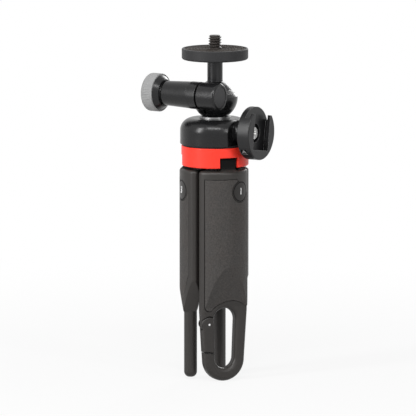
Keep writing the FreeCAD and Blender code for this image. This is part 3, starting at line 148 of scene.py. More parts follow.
def rounded(corners):
    """Profile through corners (x, y) or (x, y, radius). A corner with a radius becomes an arc that is tangent
    to both of its sides: centre + radius * direction, while the direction turns from one side's normal to
    that of the other."""
    arc_steps = 6
    places = np.array([corner[:2] for corner in corners], float)
    points = []
    for index, corner in enumerate(corners):
        if len(corner) < 3 or index in (0, len(corners) - 1):
            points.append(places[index][None])
            continue
        before = places[index - 1] - places[index]
        after = places[index + 1] - places[index]
        before, after = before / np.hypot(*before), after / np.hypot(*after)
        half = math.acos(np.clip(before @ after, -1, 1)) / 2
        middle = (before + after) / np.hypot(*(before + after))
        centre = places[index] + middle * corner[2] / math.sin(half)
        start = places[index] + before * corner[2] / math.tan(half) - centre
        end = places[index] + after * corner[2] / math.tan(half) - centre
        way = np.linspace(0, 1, arc_steps + 1)[:, None]
        spread = math.acos(np.clip(start @ end / corner[2] ** 2, -1, 1))
        arc = (np.sin((1 - way) * spread) * start + np.sin(way * spread) * end) / math.sin(spread)
        points.append(centre + arc)
    return np.concatenate(points)


def dense(profile, spacing):
    """The profile with points added along its straight runs, no further apart than the spacing."""
    steps = np.hypot(*np.diff(profile, axis=0).T)
    distance = np.concatenate([[0], np.cumsum(steps)])
    added = np.arange(0, distance[-1], spacing)
    every = np.unique(np.round(np.concatenate([distance, added]), 4))
    return np.stack([np.interp(every, distance, profile[:, 0]), np.interp(every, distance, profile[:, 1])], 1)


def make_piece(name, points, faces, place, body, finish, stands_for=(), sharp=32):
    """A mesh from points in millimetres and faces, moved by the place and welded, with its faces outwards."""
    mesh = bpy.data.meshes.new(name)
    mesh.from_pydata((np.asarray(points).reshape(-1, 3) * MM).tolist(), [], faces)
    mesh.transform(place)
    work = bmesh.new()
    work.from_mesh(mesh)
    bmesh.ops.remove_doubles(work, verts=work.verts, dist=1e-7)
    bmesh.ops.dissolve_degenerate(work, edges=work.edges, dist=1e-8)
    bmesh.ops.recalc_face_normals(work, faces=work.faces)
    work.to_mesh(mesh)
    work.free()
    mesh.polygons.foreach_set("use_smooth", np.ones(len(mesh.polygons), bool))
    mesh.set_sharp_from_angle(angle=math.radians(sharp))
    mesh.materials.append(finish)
    piece = bpy.data.objects.new(name, mesh)
    bpy.context.scene.collection.objects.link(piece)
    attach(piece, body)
    if stands_for:
        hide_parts(*stands_for)


def grid_faces(rows, columns, closed_rows, closed_columns):
    """Quads between neighbours of a grid of points, wrapped round where a direction is closed."""
    row, column = np.meshgrid(np.arange(rows if closed_rows else rows - 1),
                              np.arange(columns if closed_columns else columns - 1), indexing="ij")
    next_row, next_column = (row + 1) % rows, (column + 1) % columns
    quads = np.stack([row * columns + column, row * columns + next_column,
                      next_row * columns + next_column, next_row * columns + column], -1)
    return quads.reshape(-1, 4).tolist()


def lathe(name, profile, place, body, finish, stands_for, steps, depth, closed, sharp):
    """Surface of revolution: point(v, u) = (r cos u, r sin u, h), with radius r and height h from the profile
    at v. The depth function of angle, radius and height moves each point: it returns changes of r and h."""
    angle = np.arange(steps) * TAU / steps
    radius = np.repeat(profile[:, :1], steps, 1)
    height = np.repeat(profile[:, 1:], steps, 1)
    change = depth(angle[None], radius, height)
    radius, height = radius + change[0], height + change[1]
    points = np.stack([radius * np.cos(angle), radius * np.sin(angle), height], -1)
    faces = grid_faces(len(profile), steps, closed, True)
    make_piece(name, points, faces, place, body, finish, stands_for, sharp)


# Shader maths

class Socket:
    """An output in a node tree. Sums, products and powers of outputs are written as Python expressions."""

    def __init__(self, finish, socket):
        self.finish = finish
        self.socket = socket

    def maths(self, operation, *values):
        return self.finish.node("ShaderNodeMath", {"operation": operation}, *values)

    def __add__(self, other):
        return self.maths("ADD", self, other)

    __radd__ = __add__

    def __sub__(self, other):
        return self.maths("SUBTRACT", self, other)

    def __rsub__(self, other):
        return self.maths("SUBTRACT", other, self)

    def __mul__(self, other):
        return self.maths("MULTIPLY", self, other)

    def __pow__(self, other):
        return self.maths("POWER", self, other)

    def sine(self):
        return self.maths("SINE", self)

    def distance(self):
        return self.maths("ABSOLUTE", self)

    def ramp(self, low, high):
        """0 below low, 1 above high, smooth between."""
        settings = {"interpolation_type": "SMOOTHSTEP"}
        return self.finish.node("ShaderNodeMapRange", settings, self, low, high, 0.0, 1.0)


class Finish:
    """Nodes of a material or of the world: they are added by one method and end in one shader."""

    def __init__(self, owner):
        self.owner = owner
        owner.use_nodes = True
        self.tree = owner.node_tree
        self.tree.nodes.clear()
        self.coordinates = self.node("ShaderNodeTexCoord", {}, output="Object")

    def node(self, kind, settings, *values, output=None, **named):
        """Adds a node: its settings first, then its inputs in order or by name. Returns its output."""
        made = self.tree.nodes.new(kind)
        for key, value in settings.items():
            setattr(made, key, value)
        inputs = [socket for socket in made.inputs if socket.enabled]
        pairs = list(zip(inputs, values))
        for key, value in named.items():
            wanted = key.replace("_", " ").lower()
            pairs.append((next(socket for socket in inputs if socket.name.lower() == wanted), value))
        for socket, value in pairs:
            if isinstance(value, Socket):
                self.tree.links.new(value.socket, socket)
            elif hasattr(socket.default_value, "__len__") and len(socket.default_value) == 4:
                socket.default_value = (*value, 1)
            else:
                socket.default_value = value
        outputs = [socket for socket in made.outputs if socket.enabled]
        return Socket(self, made.outputs[output] if output else outputs[0])

    def placed(self, place):
        """Object coordinates seen from a place: its centre and turn undone by a Mapping node."""
        settings = {"vector_type": "TEXTURE"}
        return self.node("ShaderNodeMapping", settings, self.coordinates, place.to_translation(),
                         place.to_euler(), (1, 1, 1))

    def noise(self, size, detail=2.0, roughness=0.5, where=None):
        """Cloudy noise whose features are about that many millimetres across."""
        return self.node("ShaderNodeTexNoise", {}, Vector=where or self.coordinates, Scale=1 / (size * MM),
                         Detail=detail, Roughness=roughness)

    def cells(self, size, where):
        """Round cells about that many millimetres across, 0 in the middle of each."""
        return self.node("ShaderNodeTexVoronoi", {"feature": "F1"}, Vector=where, Scale=1 / (size * MM))

    def split(self, vector):
        """The x, y and z of a vector."""
        parts = self.node("ShaderNodeSeparateXYZ", {}, vector)
        outputs = parts.socket.node.outputs
        return [Socket(self, outputs[axis]) for axis in range(3)]

    def from_axis(self, place):
        """Distance from the Z axis of a place."""
        x, y, _ = self.split(self.placed(place))
        return (x * x + y * y) ** 0.5

    def mix(self, factor, first, second):
        """Colour between two colours."""
        return self.node("ShaderNodeMix", {"data_type": "RGBA"}, factor, first, second)

    def shade(self, colour_value, amount):
        """A colour times a number that varies over the surface, through Vector Math."""
        return self.node("ShaderNodeVectorMath", {"operation": "SCALE"}, colour_value, Scale=amount)

    def edges(self, radius):
        """Normal with edges rounded by that many millimetres, and how far it leans from the flat one."""
        soft = self.node("ShaderNodeBevel", {"samples": 6}, Radius=radius * MM)
        plain = self.node("ShaderNodeNewGeometry", {}, output="Normal")
        same = self.node("ShaderNodeVectorMath", {"operation": "DOT_PRODUCT"}, soft, plain, output="Value")
        return soft, (1 - same).ramp(0.01, 0.25)

    def crevice(self):
        """1 deep in a seam, 0 where nothing is near: a mask for painting shade into seams."""
        reach = 0.7 * MM
        open_sky = self.node("ShaderNodeAmbientOcclusion", {"samples": 8}, Distance=reach, output="AO")
        return 1 - open_sky.ramp(0.3, 0.85)

    def relief(self, height, distance, **normal):
        """Bumps of that many millimetres."""
        return self.node("ShaderNodeBump", {}, Strength=1.0, Distance=distance * MM, Height=height, **normal)

    def shader(self, black_paint_and_shade=None, **named):
        """Ends the material in its shader. Where the mask of black paint and painted shade is 1 the surface
        is matte black.
        """
        surface = self.node("ShaderNodeBsdfPrincipled", {}, **named)
        if black_paint_and_shade:
            # matte black for painted shade and for black paint
            matte = self.node("ShaderNodeBsdfPrincipled", {}, Base_Color=(0.003, 0.003, 0.003),
                              Roughness=0.75, Specular_IOR_Level=0.08)
            surface = self.node("ShaderNodeMixShader", {}, black_paint_and_shade, surface, matte)
        return self.end("ShaderNodeOutputMaterial", surface)

    def seen(self):
        """1 for rays of the camera, of reflections and through glass, 0 for light that falls on things."""
        camera, glossy, through = [self.node("ShaderNodeLightPath", {}, output="Is %s Ray" % kind)
                                   for kind in ("Camera", "Glossy", "Transmission")]
        return camera.maths("MAXIMUM", camera, glossy.maths("MAXIMUM", glossy, through))

    def end(self, kind, shader):
        """Links the shader to the output of that kind. Returns the finished material or world."""
        out = self.tree.nodes.new(kind)
        self.tree.links.new(shader.socket, out.inputs["Surface"])
        return self.owner


def scaled(tone, factor):
    """A colour times a plain number."""
    return tuple(part * factor for part in tone)


def moulded(name, tone, rough, grain=0.25, depth=0.012, edge=0.25, wear_and_highlight=0.35, mottle=0.12, painted_seam_shade=0.0,
            dark=None):
    """Injection moulded plastic: spark-eroded grain, faint flow marks, edges polished by handling and painted
    lighter as highlights, painted shade in the seams. The dark function gives a mask of what is painted black
    as shade."""
    made = Finish(bpy.data.materials.new(name))
    soft, worn_and_highlit = made.edges(edge)
    grit = made.noise(grain, 3.0, 0.6)
    cloud = made.noise(9.0, 3.0, 0.55)
    flow = made.noise(2.2, 2.0, 0.5)
    amount = 1 + (cloud - 0.5) * mottle + (flow - 0.5) * mottle * 0.5 + (grit - 0.5) * mottle
    # edges lighter: handling wear and painted highlights
    worn_highlight_tone = tuple(min(1.0, part * (1 + wear_and_highlight) + 0.012 * wear_and_highlight) for part in tone)
    rubbed_and_highlit = worn_and_highlit * (cloud * 0.8 + 0.4)
    base = made.mix(rubbed_and_highlit, made.shade(tone, amount), worn_highlight_tone)
    if painted_seam_shade:
        # painted shade: the colour darkens deep in seams
        base = made.mix(made.crevice() * painted_seam_shade, base, scaled(tone, 0.12))
    gloss = rough + (flow - 0.5) * 0.10 + (grit - 0.5) * 0.08 - rubbed_and_highlit * 0.08
    return made.shader(dark and dark(made), Base_Color=base, Roughness=gloss,
                       Normal=made.relief(grit, depth, Normal=soft), Specular_IOR_Level=0.3)


def grained_rubber(name, tone, rough, speckle, grain=0.6, depth=0.06, specular=0.3):
    """Soft rubber: close pebbled grain with fine grit between, in patches of a warmer tone, with painted
    shade in the seams and edges painted lighter by wear and as highlights. The cells of the grain are pulled
    about by half a millimetre of noise."""
    made = Finish(bpy.data.materials.new(name))
    soft, worn_and_highlit = made.edges(0.3)
    clouds = made.node("ShaderNodeTexNoise", {}, Vector=made.coordinates, Scale=0.9 / MM, output="Color")
    pull = made.shade(clouds, 0.5 * MM)
    wander = made.node("ShaderNodeVectorMath", {"operation": "ADD"}, made.coordinates, pull)
    pebble = made.cells(grain, wander)
    grit = made.noise(0.14, 2.0, 0.6)
    speck = made.noise(0.7, 1.0, 0.5)
    cloud = made.noise(11.0, 3.0, 0.6)
    height = (1 - pebble) * 0.8 + grit * 0.35
    amount = 0.95 + (cloud - 0.5) * 0.14 + (0.5 - pebble) * 0.24 + (grit - 0.5) * 0.2
    amount = amount + (speck - 0.5) * speckle
    warm = (tone[0] * 1.06, tone[1] * 0.99, tone[2] * 0.95)
    base = made.mix(cloud.ramp(0.4, 0.65) * 0.5, made.shade(tone, amount), made.shade(warm, amount))
    # painted shade: darker deep in seams
    base = made.mix(made.crevice() * 0.8, base, scaled(tone, 0.15))
    # edges lighter: wear and painted highlights
    base = made.mix(worn_and_highlit * 0.7, base, scaled(tone, 2.4))
    gloss = rough + (pebble - 0.5) * 0.12 + (cloud - 0.5) * 0.1
    return made.shader(Base_Color=base, Roughness=gloss, Normal=made.relief(height, depth, Normal=soft),
                       Specular_IOR_Level=specular)


def turned_metal(name, tone, rough, place, pitch=0.18, depth=0.006, metallic=1.0, core=0.0, specular=0.5):
    """Metal turned on a lathe about the place's Z axis: fine rings, faint stains and bright edges. A core is
    the radius of a bright middle, with dark metal round it."""
    made = Finish(bpy.data.materials.new(name))
    soft, worn_and_highlit = made.edges(0.15)
    x, y, z = made.split(made.placed(place))
    radius = (x * x + y * y) ** 0.5
    wobble = made.noise(0.6, 2.0, 0.5)
    rings = ((radius + z) * (TAU / (pitch * MM)) + wobble * 3.0).sine()
    stain = made.noise(4.0, 3.0, 0.6)
    scuff = made.noise(0.5, 3.0, 0.7, made.placed(place @ Matrix.Diagonal((6, 1, 1, 1))))
    amount = 0.95 + (stain - 0.5) * 0.2 + rings * 0.04
    bright = tuple(min(1.0, part * 1.3 + 0.02) for part in tone)
    base = made.mix(worn_and_highlit * 0.7, made.shade(tone, amount), bright)
    if core:
        base = made.mix(radius.ramp(core * MM, core * 1.25 * MM), base, scaled(tone, 0.1))
    gloss = rough + (stain - 0.5) * 0.14 + (scuff - 0.5) * 0.12 + rings * 0.02
    height = rings * 0.5 + scuff * 0.6
    return made.shader(Base_Color=base, Metallic=metallic, Roughness=gloss, Specular_IOR_Level=specular,
                       Normal=made.relief(height, depth, Normal=soft))


def satin_black(name, tone, rough, edge=0.3, specular=0.3, lit=0.02, dark=None, rings=None):
    """Smooth black plastic: slow sink marks, handling haze, fine scratches and edges painted lighter as soft
    highlights. The dark function gives a mask of what is painted black, painted shade round the roundels and
    black paint in the shoe's window, and rings are concentric tooling marks about a place."""
    made = Finish(bpy.data.materials.new(name))
    soft, worn_and_highlit = made.edges(edge)
    haze = made.noise(6.0, 4.0, 0.6)
    sink = made.noise(3.5, 1.0, 0.4)
    scratch = made.noise(0.35, 3.0, 0.7, made.placed(turn(37, "X") @ Matrix.Diagonal((9, 1, 1, 1))))
    fine = made.noise(0.15, 2.0, 0.5)
    lines = scratch.ramp(0.62, 0.72)
    amount = 0.92 + (haze - 0.5) * 0.3 + lines * 0.2 + (fine - 0.5) * 0.15
    lighter = tuple(part * 1.7 + lit for part in tone)
    # painted highlight: edges lighter
    base = made.mix(worn_and_highlit * (0.4 + haze * 0.6), made.shade(tone, amount), lighter)
    height = sink * 0.5 + fine * 0.12 + scratch * 0.1
    if rings:
        place, pitch = rings
        wave = (made.from_axis(place) * (TAU / (pitch * MM)) + fine * 2.0).sine()
        height = height + wave * 0.25
        base = made.mix(wave.ramp(0.0, 1.0) * 0.3, base, lighter)
    gloss = rough + (haze - 0.5) * 0.16 + lines * 0.1 + (fine - 0.5) * 0.06
    return made.shader(dark and dark(made), Base_Color=base, Roughness=gloss,
                       Normal=made.relief(height, 0.03, Normal=soft), Specular_IOR_Level=specular)


def hinge_grease(made):
    """Mask of painted shade on the knuckles, painted black: what lies above the shoulder of the legs."""
    low, high = (LEG_SHOULDER + 0.1) * MM, (LEG_SHOULDER + 1.4) * MM
    _, _, height = made.split(made.coordinates)
    # painted shade: the knuckles go black above the shoulder
    return (height + made.noise(1.5) * 0.4 * MM).ramp(low, high) * 0.95


def rim_line(number):
    """Mask of the painted shade round a leg's roundel, where the gap of its socket is."""
    inside, outside = 4.35 * MM, 4.55 * MM
    return lambda made: made.from_axis(roundel_frame(number)).ramp(inside, outside)


def window_floor(made):
    """Mask of the sunk window in the shoe's rim: a box in the window's own place."""
    half_length, half_width, half_depth = 1.5 * MM, 1.75 * MM, 0.2 * MM
    blur = 0.12 * MM
    along, across, height = made.split(made.placed(window_frame))
    lengthways = 1 - along.distance().ramp(half_length, half_length + blur)
    crossways = 1 - across.distance().ramp(half_width, half_width + blur)
    return lengthways * crossways * (1 - height.distance().ramp(half_depth, half_depth * 1.5))


def painted_mark(name, tone):
    """Pad-printed marking: slightly uneven ink with a fine grain."""
    made = Finish(bpy.data.materials.new(name))
    ink = made.noise(0.3, 3.0, 0.6)
    cloud = made.noise(1.5, 2.0, 0.5)
    amount = 0.97 + (ink - 0.5) * 0.12 + (cloud - 0.5) * 0.08
    gloss = 0.45 + (ink - 0.5) * 0.2
    return made.shader(Base_Color=made.shade(tone, amount), Roughness=gloss, Normal=made.relief(ink, 0.01))


finishes = {}


def make_finishes(tones):
    """All finishes, by name, in the given colours."""
    up = Matrix.Identity(4)
    black = tuple(tones.head)
    metal = tuple(tones.metal)
    finishes.update({
        "leg": moulded("leg nylon", tuple(tones.leg), 0.42, grain=0.22, depth=0.014, edge=0.1, wear_and_highlight=0.6,
                       painted_seam_shade=0.85, dark=hinge_grease),
        "gate": moulded("gate nylon", tuple(tones.leg), 0.42, grain=0.2, edge=0.1, wear_and_highlight=0.6, painted_seam_shade=0.85),
        "grip": grained_rubber("grip rubber", tuple(tones.grip), 0.6, 1.0),
        "hub": moulded("hub plastic", (0.008, 0.008, 0.0085), 0.6),
        "collar": moulded("red collar", tuple(tones.collar), 0.38, grain=0.18, depth=0.006, edge=0.3,
                          wear_and_highlight=0.15, mottle=0.05),
        "dome": satin_black("dome plastic", black, 0.26, specular=0.28),
        "head": satin_black("head plastic", black, 0.26, specular=0.32),
        "shoe": satin_black("shoe plastic", scaled(black, 1.3), 0.38, edge=0.4, specular=0.28, lit=0.2,
                            dark=window_floor),
        "liner": moulded("liner", (0.05, 0.05, 0.05), 0.4),
        "cap": satin_black("boss disc", scaled(black, 2.2), 0.42, rings=(barrel_frame, 0.8)),
        "knurl": moulded("knob rubber", tuple(tones.knurl), 0.58, grain=0.18, depth=0.01, edge=0.15,
                         wear_and_highlight=0.15),
        "pad": grained_rubber("plate rubber", (0.030, 0.026, 0.023), 0.8, 0.2, grain=0.3, depth=0.02,
                              specular=0.15),
        "plate": turned_metal("plate metal", metal, 0.5, up, pitch=0.3, metallic=0.1, specular=0.22),
        "ball": turned_metal("ball metal", metal, 0.34, up, pitch=0.25, metallic=0.6),
        "stud": turned_metal("stud metal", (0.034, 0.029, 0.026), 0.46, up, pitch=0.2, metallic=0.3,
                             specular=0.4),
        "ring": turned_metal("bearing ring", (0.36, 0.36, 0.36), 0.34, up, pitch=0.12),
        "steel": turned_metal("steel", tuple(tones.steel), 0.3, up),
        "screw": turned_metal("bright screw", (0.78, 0.78, 0.77), 0.26, shoe_frame @ turn(90, "X"),
                              pitch=0.5, depth=0.03),
        "pin": turned_metal("rivet", (0.85, 0.85, 0.85), 0.26, rivet_frame, pitch=0.4, depth=0.01,
                            core=0.45),
        "brass": turned_metal("nut brass", (0.75, 0.55, 0.25), 0.3, barrel_frame),
        "mark": painted_mark("white ink", tuple(tones.mark)),
        "arrow": painted_mark("grey ink", (0.24, 0.24, 0.24)),
    })
    for number in (1, 2, 3):
        finishes["roundel_%d" % number] = satin_black("roundel %d" % number, scaled(tones.leg, 0.7), 0.36,
                                                      edge=0.15, dark=rim_line(number))


def dress(finish, *nodes):
    """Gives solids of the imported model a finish."""
    for node in nodes:
        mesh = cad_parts[node].data
        mesh.materials.clear()
        mesh.materials.append(finishes[finish])


# Operators

class Maker:
    """What the operators share: the scene's sizes and colours."""

    bl_options = {"REGISTER", "UNDO"}

    @property
    def sizes(self):
        return bpy.context.scene.tripod_sizes

    @property
    def colours(self):
        return bpy.context.scene.tripod_colours


class TRIPOD_OT_finishes(Maker, bpy.types.Operator):
    """Mix every finish"""

    bl_idname = "tripod.finishes"
    bl_label = "Finishes"

    def execute(self, context):
        make_finishes(self.colours)
        return {"FINISHED"}


class TRIPOD_OT_legs(Maker, bpy.types.Operator):
    """Dress the legs, their grip pads and the snap gate, and number the roundels"""

    bl_idname = "tripod.legs"
    bl_label = "Legs"

    def execute(self, context):
        for number in (1, 2, 3):
            dress("leg", "leg_%d" % number)
            dress("grip", "grip_pad_%d" % number)
            dress("roundel_%d" % number, "leg_roundel_%d" % number)
            self.numeral(number)
        dress("gate", "gate")
        dress("pin", "gate_pin")
        dress("steel", "gate_spring")
        return {"FINISHED"}

    def numeral(self, number):
        """Number of the leg in the middle of its roundel, laid on the leg's curve of radius R: a point
        (x, y, z) of the flat number goes to the bearing roundel + x / R and the radius R + z, at height y."""
        lift = 0.01
        font = bpy.data.curves.new("numeral", "FONT")
        font.body = str(number)
        font.size = self.sizes.numeral_height / MM
        font.align_x, font.align_y = "CENTER", "CENTER"
        font.extrude = 0.04
        writing = bpy.data.objects.new("numeral", font)
        bpy.context.scene.collection.objects.link(writing)
        mesh = bpy.data.meshes.new_from_object(writing.evaluated_get(bpy.context.evaluated_depsgraph_get()))
        bpy.data.objects.remove(writing)
        work = bmesh.new()
        work.from_mesh(mesh)
        bmesh.ops.subdivide_edges(work, edges=work.edges, cuts=2, use_grid_fill=True)
        bmesh.ops.triangulate(work, faces=work.faces)
        work.to_mesh(mesh)
        work.free()
        points = np.empty(len(mesh.vertices) * 3, np.float32)
        mesh.vertices.foreach_get("co", points)
        points = points.reshape(-1, 3).astype(float)
        faces = [tuple(polygon.vertices) for polygon in mesh.polygons]
        bearing = math.radians(ROUNDEL_BEARING) + points[:, 0] / LEG_CURVE
        reach = LEG_CURVE + points[:, 2] + lift
        curved = np.stack([reach * np.sin(bearing), -LEG_CURVE_SHIFT - reach * np.cos(bearing),
                           ROUNDEL_HEIGHT + points[:, 1]], -1)
        make_piece("leg_number_%d" % number, curved, faces, leg_frame(number), "leg_%d" % number,
                   finishes["mark"])


class TRIPOD_OT_collar(Maker, bpy.types.Operator):
    """Dress the hub, the red collar, the dome and the fasteners inside them"""

    bl_idname = "tripod.collar"
    bl_label = "Hub, collar and dome"

    def execute(self, context):
        dress("hub", "hub")
        dress("collar", "collar_ring")
        dress("dome", "dome_cover")
        dress("ring", "pan_ring")
        dress("steel", "hinge_pins", "detent_balls", "detent_springs", "hub_screws", "pan_screw",
              "pan_washer", "shoe_washer")
        return {"FINISHED"}


class TRIPOD_OT_shoe(Maker, bpy.types.Operator):
    """Dress the cold shoe and its screw, and raise the arrow in the window of its rim"""

    bl_idname = "tripod.shoe"
    bl_label = "Cold shoe"

    def execute(self, context):
        dress("shoe", "shoe_body")
        dress("screw", "shoe_screw")
        self.arrow()
        return {"FINISHED"}

    def arrow(self):
        """Notched arrow head that points round the rim: ring(v) = outline * size(v) at height(v), with both
        from a small bevelled profile."""
        outline = np.array([(1.15, 0), (0.1, 0.62), (-0.95, 1.2), (-0.65, 0.5), (-0.5, 0), (-0.65, -0.5),
                            (-0.95, -1.2), (0.1, -0.62)])
        size = np.array([1.0, 1.0, 0.9, 0.0])[:, None, None]
        height = np.array([-0.1, 0.14, 0.2, 0.22])[:, None, None]
        flat = outline[None] * size
        points = np.concatenate([flat, np.broadcast_to(height, (4, len(outline), 1))], -1)
        faces = grid_faces(4, len(outline), False, True)
        make_piece("shoe_arrow", points, faces, window_frame, "shoe", finishes["arrow"])


class TRIPOD_OT_head(Maker, bpy.types.Operator):
    """Dress the clamp, its sleeve, liner and bolt, and the disc in its boss"""

    bl_idname = "tripod.head"
    bl_label = "Clamp"

    def execute(self, context):
        dress("head", "clamp_housing", "knob_sleeve")
        dress("liner", "ball_liner")
        dress("steel", "clamp_bolt", "thrust_washer")
        dress("cap", "boss_cap")
        return {"FINISHED"}


class TRIPOD_OT_knob(Maker, bpy.types.Operator):
    """Make the knurled ring of the knob and dress its core"""

    bl_idname = "tripod.knob"
    bl_label = "Knob"

    def execute(self, context):
        bore, outside = 7.43, 9.3
        outer_end, inner_end = -30.2, -23.6
        profile = dense(rounded([(bore, outer_end), (outside, outer_end, 1.5), (outside, inner_end, 0.5),
                                 (bore, inner_end)]), 0.35)
        count, deep = self.sizes.knurl_count, self.sizes.knurl_depth / MM

        def knurls(angle, radius, height):
            """Round ridges along the barrel, dying out towards both ends of the ring."""
            fade = np.clip((radius - outside + 0.7) / 0.6, 0, 1) ** 0.5
            fade = fade * np.clip((inner_end - 0.5 - height) / 0.4, 0, 1)
            return -deep * fade * np.abs(np.sin(angle * count / 2)) ** 1.5, 0

        lathe("knob_ring", profile, barrel_frame, "knob", finishes["knurl"], ["knob_grip"],
              steps=count * 6, depth=knurls, closed=True, sharp=50)
        dress("head", "knob_hub")
        dress("brass", "knob_nut")
        return {"FINISHED"}


class TRIPOD_OT_ball(Maker, bpy.types.Operator):
    """Dress the ball and its stem"""

    bl_idname = "tripod.ball"
    bl_label = "Ball and stem"

    def execute(self, context):
        dress("ball", "ball_stem")
        return {"FINISHED"}


class TRIPOD_OT_plate(Maker, bpy.types.Operator):
    """Make the camera thread and the ribbed pad, and dress the plate"""

    bl_idname = "tripod.plate"
    bl_label = "Camera plate"

    def execute(self, context):
        dress("plate", "camera_plate")
        self.thread()
        self.pad()
        return {"FINISHED"}

    def thread(self):
        """Screw surface: radius(z, u) = crest - depth * valley(z / pitch - u / turn), with a V valley cut
        flat at crest and root. The top is bevelled, and the shank below the plate's top is plain."""
        pitch, deep = self.sizes.thread_pitch / MM, self.sizes.thread_depth / MM
        crest, neck, root, tip = 3.175, 2.7, 2.2, 2.45
        foot, seat = 150.8, 158.6
        bevel_height, bevel_depth = 0.7, 0.72
        body = np.arange(PLATE_TOP, STUD_TOP, 0.07)
        profile = np.concatenate([[(0, foot), (root, foot), (root, seat), (neck, seat), (neck, PLATE_TOP)],
                                  np.stack([np.full(len(body), crest), body], 1),
                                  [(tip, STUD_TOP), (0, STUD_TOP)]])

        def helix(angle, radius, height):
            phase = (height / pitch - angle / TAU) % 1
            valley = np.clip(np.abs(phase - 0.5) * -2.4 + 1.05, 0, 1)
            bevel = np.clip((height - STUD_TOP + bevel_height) / bevel_height, 0, 1) * bevel_depth
            threaded = radius > neck + 0.4
            return threaded * -np.maximum(deep * valley, bevel), 0

        lathe("camera_thread", profile, head_frame, "plate", finishes["stud"], ["camera_stud"],
              steps=96, depth=helix, closed=False, sharp=40)

    def pad(self):
        """Rubber disc with concentric grooves: height = top - depth * groove(r / pitch)."""
        pitch, deep = self.sizes.rib_pitch / MM, self.sizes.rib_depth / MM
        bore, outside = 2.9, 14.97
        first_groove, last_groove = 4.3, 14.4
        bottom, top = PLATE_TOP - 1.0, PLATE_TOP - 0.15
        corners = [(bore, bottom), (bore, top, 0.2), (outside, top, 0.2), (outside, bottom)]
        profile = dense(rounded(corners), 0.16)

        def ribs(angle, radius, height):
            groove = np.clip(np.cos(radius / pitch * TAU) * 1.6 - 0.6, 0, 1)
            inner, outer = (radius - first_groove) / 0.3, (last_groove - radius) / 0.3
            inside = np.clip(inner, 0, 1) * np.clip(outer, 0, 1)
            return 0, -deep * groove * inside * (height > top - 0.05)

        lathe("ribbed_pad", profile, head_frame, "plate", finishes["pad"], ["plate_pad"],
              steps=128, depth=ribs, closed=True, sharp=60)


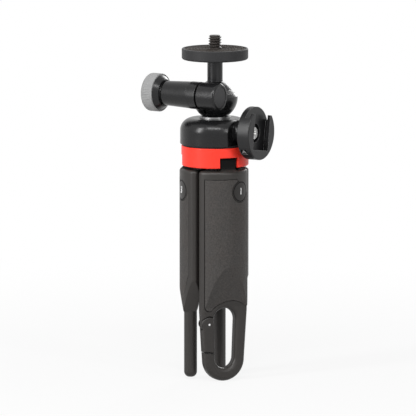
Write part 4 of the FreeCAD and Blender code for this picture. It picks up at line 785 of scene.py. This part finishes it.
class TRIPOD_OT_studio(Maker, bpy.types.Operator):
    """Set the pale floor, the soft lamps and the camera"""

    bl_idname = "tripod.studio"
    bl_label = "Studio"

    def execute(self, context):
        self.floor()
        self.surroundings()
        self.lamps()
        self.camera()
        bpy.context.scene.view_settings.view_transform = "Standard"
        return {"FINISHED"}

    def floor(self):
        """Flat floor. What the camera and reflections see of it glows white, a little less near the tripod,
        so that the shadow shows."""
        reach, glow_near = 3.0, 0.86
        mesh = bpy.data.meshes.new("floor")
        mesh.from_pydata([(-reach, -reach, 0), (reach, -reach, 0), (reach, reach, 0), (-reach, reach, 0)],
                         [], [(0, 1, 2, 3)])
        plane = bpy.data.objects.new("floor", mesh)
        bpy.context.scene.collection.objects.link(plane)
        made = Finish(bpy.data.materials.new("floor"))
        paint = made.node("ShaderNodeBsdfDiffuse", {}, tuple(self.colours.floor))
        glow = made.node("ShaderNodeEmission", {}, (1, 1, 1), 1.0)
        far = made.from_axis(Matrix.Identity(4)).ramp(0.05, 0.4)
        share = made.seen() * (glow_near + far * (1 - glow_near))
        mixed = made.node("ShaderNodeMixShader", {}, share, paint, glow)
        mesh.materials.append(made.end("ShaderNodeOutputMaterial", mixed))

    def surroundings(self):
        """World that is white for the camera, for reflections and through glass, and dim as a light."""
        made = Finish(bpy.data.worlds.new("studio"))
        dim = made.node("ShaderNodeBackground", {}, (0.22, 0.22, 0.22), 1.0)
        white = made.node("ShaderNodeBackground", {}, (1, 1, 1), 1.0)
        mixed = made.node("ShaderNodeMixShader", {}, made.seen(), dim, white)
        bpy.context.scene.world = made.end("ShaderNodeOutputWorld", mixed)

    def lamps(self):
        """Soft boxes: place in metres, width, height, watts; each looks at the middle of the tripod."""
        middle = Vector((0, 0, 0.09))
        for name, place, wide, high, power in (
                ("key", (-0.94, -0.16, 0.5), 0.16, 0.7, 8.0),
                ("over", (-0.40, -0.70, 0.96), 0.8, 0.2, 9.0),
                ("front", (0.26, -1.0, 0.5), 0.1, 0.5, 3.0),
                ("top", (0.0, 0.1, 1.2), 0.6, 0.6, 1.0),
                ("back", (0.7, 0.7, 0.5), 0.3, 0.6, 3.0)):
            lamp = bpy.data.lights.new(name, "AREA")
            lamp.shape = "RECTANGLE"
            lamp.size, lamp.size_y, lamp.energy = wide, high, power
            holder = bpy.data.objects.new(name, lamp)
            holder.location = place
            aim = middle - Vector(place)
            holder.rotation_euler = aim.to_track_quat("-Z", "Y").to_euler()
            bpy.context.scene.collection.objects.link(holder)

    def camera(self):
        """Long lens 3.2 m away, at the bearing and height of the photograph."""
        bearing = math.radians(-25.5)
        away, eye_height, aim_height, aim_side = 3.2, 0.5373, 0.0838, -0.0034
        right = Vector((math.cos(bearing), math.sin(bearing), 0))
        back = Vector((math.sin(bearing), -math.cos(bearing), 0))
        target = right * aim_side + Vector((0, 0, aim_height))
        eye = right * aim_side + back * away + Vector((0, 0, eye_height))
        lens = bpy.data.cameras.new("camera")
        lens.sensor_width = 36
        lens.lens = 573.0
        lens.clip_end = 20
        camera = bpy.data.objects.new("camera", lens)
        camera.location = eye
        camera.rotation_euler = (target - eye).to_track_quat("-Z", "Y").to_euler()
        bpy.context.scene.collection.objects.link(camera)
        bpy.context.scene.camera = camera


operators = (TRIPOD_OT_finishes, TRIPOD_OT_legs, TRIPOD_OT_collar, TRIPOD_OT_shoe, TRIPOD_OT_head,
             TRIPOD_OT_knob, TRIPOD_OT_ball, TRIPOD_OT_plate, TRIPOD_OT_studio)


class TRIPOD_PT_panel(bpy.types.Panel):
    """Sizes, colours and makers of the tripod"""

    bl_idname = "TRIPOD_PT_panel"
    bl_label = "Mini tripod"
    bl_space_type = "VIEW_3D"
    bl_region_type = "UI"
    bl_category = "Tripod"

    def draw(self, context):
        for group in (context.scene.tripod_sizes, context.scene.tripod_colours):
            for name in group.__annotations__:
                self.layout.prop(group, name)
        for operator in operators:
            self.layout.operator(operator.bl_idname)


classes = (TripodSizes, TripodColours, *operators, TRIPOD_PT_panel)


def register():
    for item in classes:
        bpy.utils.register_class(item)
    bpy.types.Scene.tripod_sizes = bpy.props.PointerProperty(type=TripodSizes)
    bpy.types.Scene.tripod_colours = bpy.props.PointerProperty(type=TripodColours)


def unregister():
    del bpy.types.Scene.tripod_sizes
    del bpy.types.Scene.tripod_colours
    for item in reversed(classes):
        bpy.utils.unregister_class(item)


def main():
    register()
    for operator in operators:
        group, name = operator.bl_idname.split(".")
        getattr(getattr(bpy.ops, group), name)()


if __name__ == "__main__":
    main()
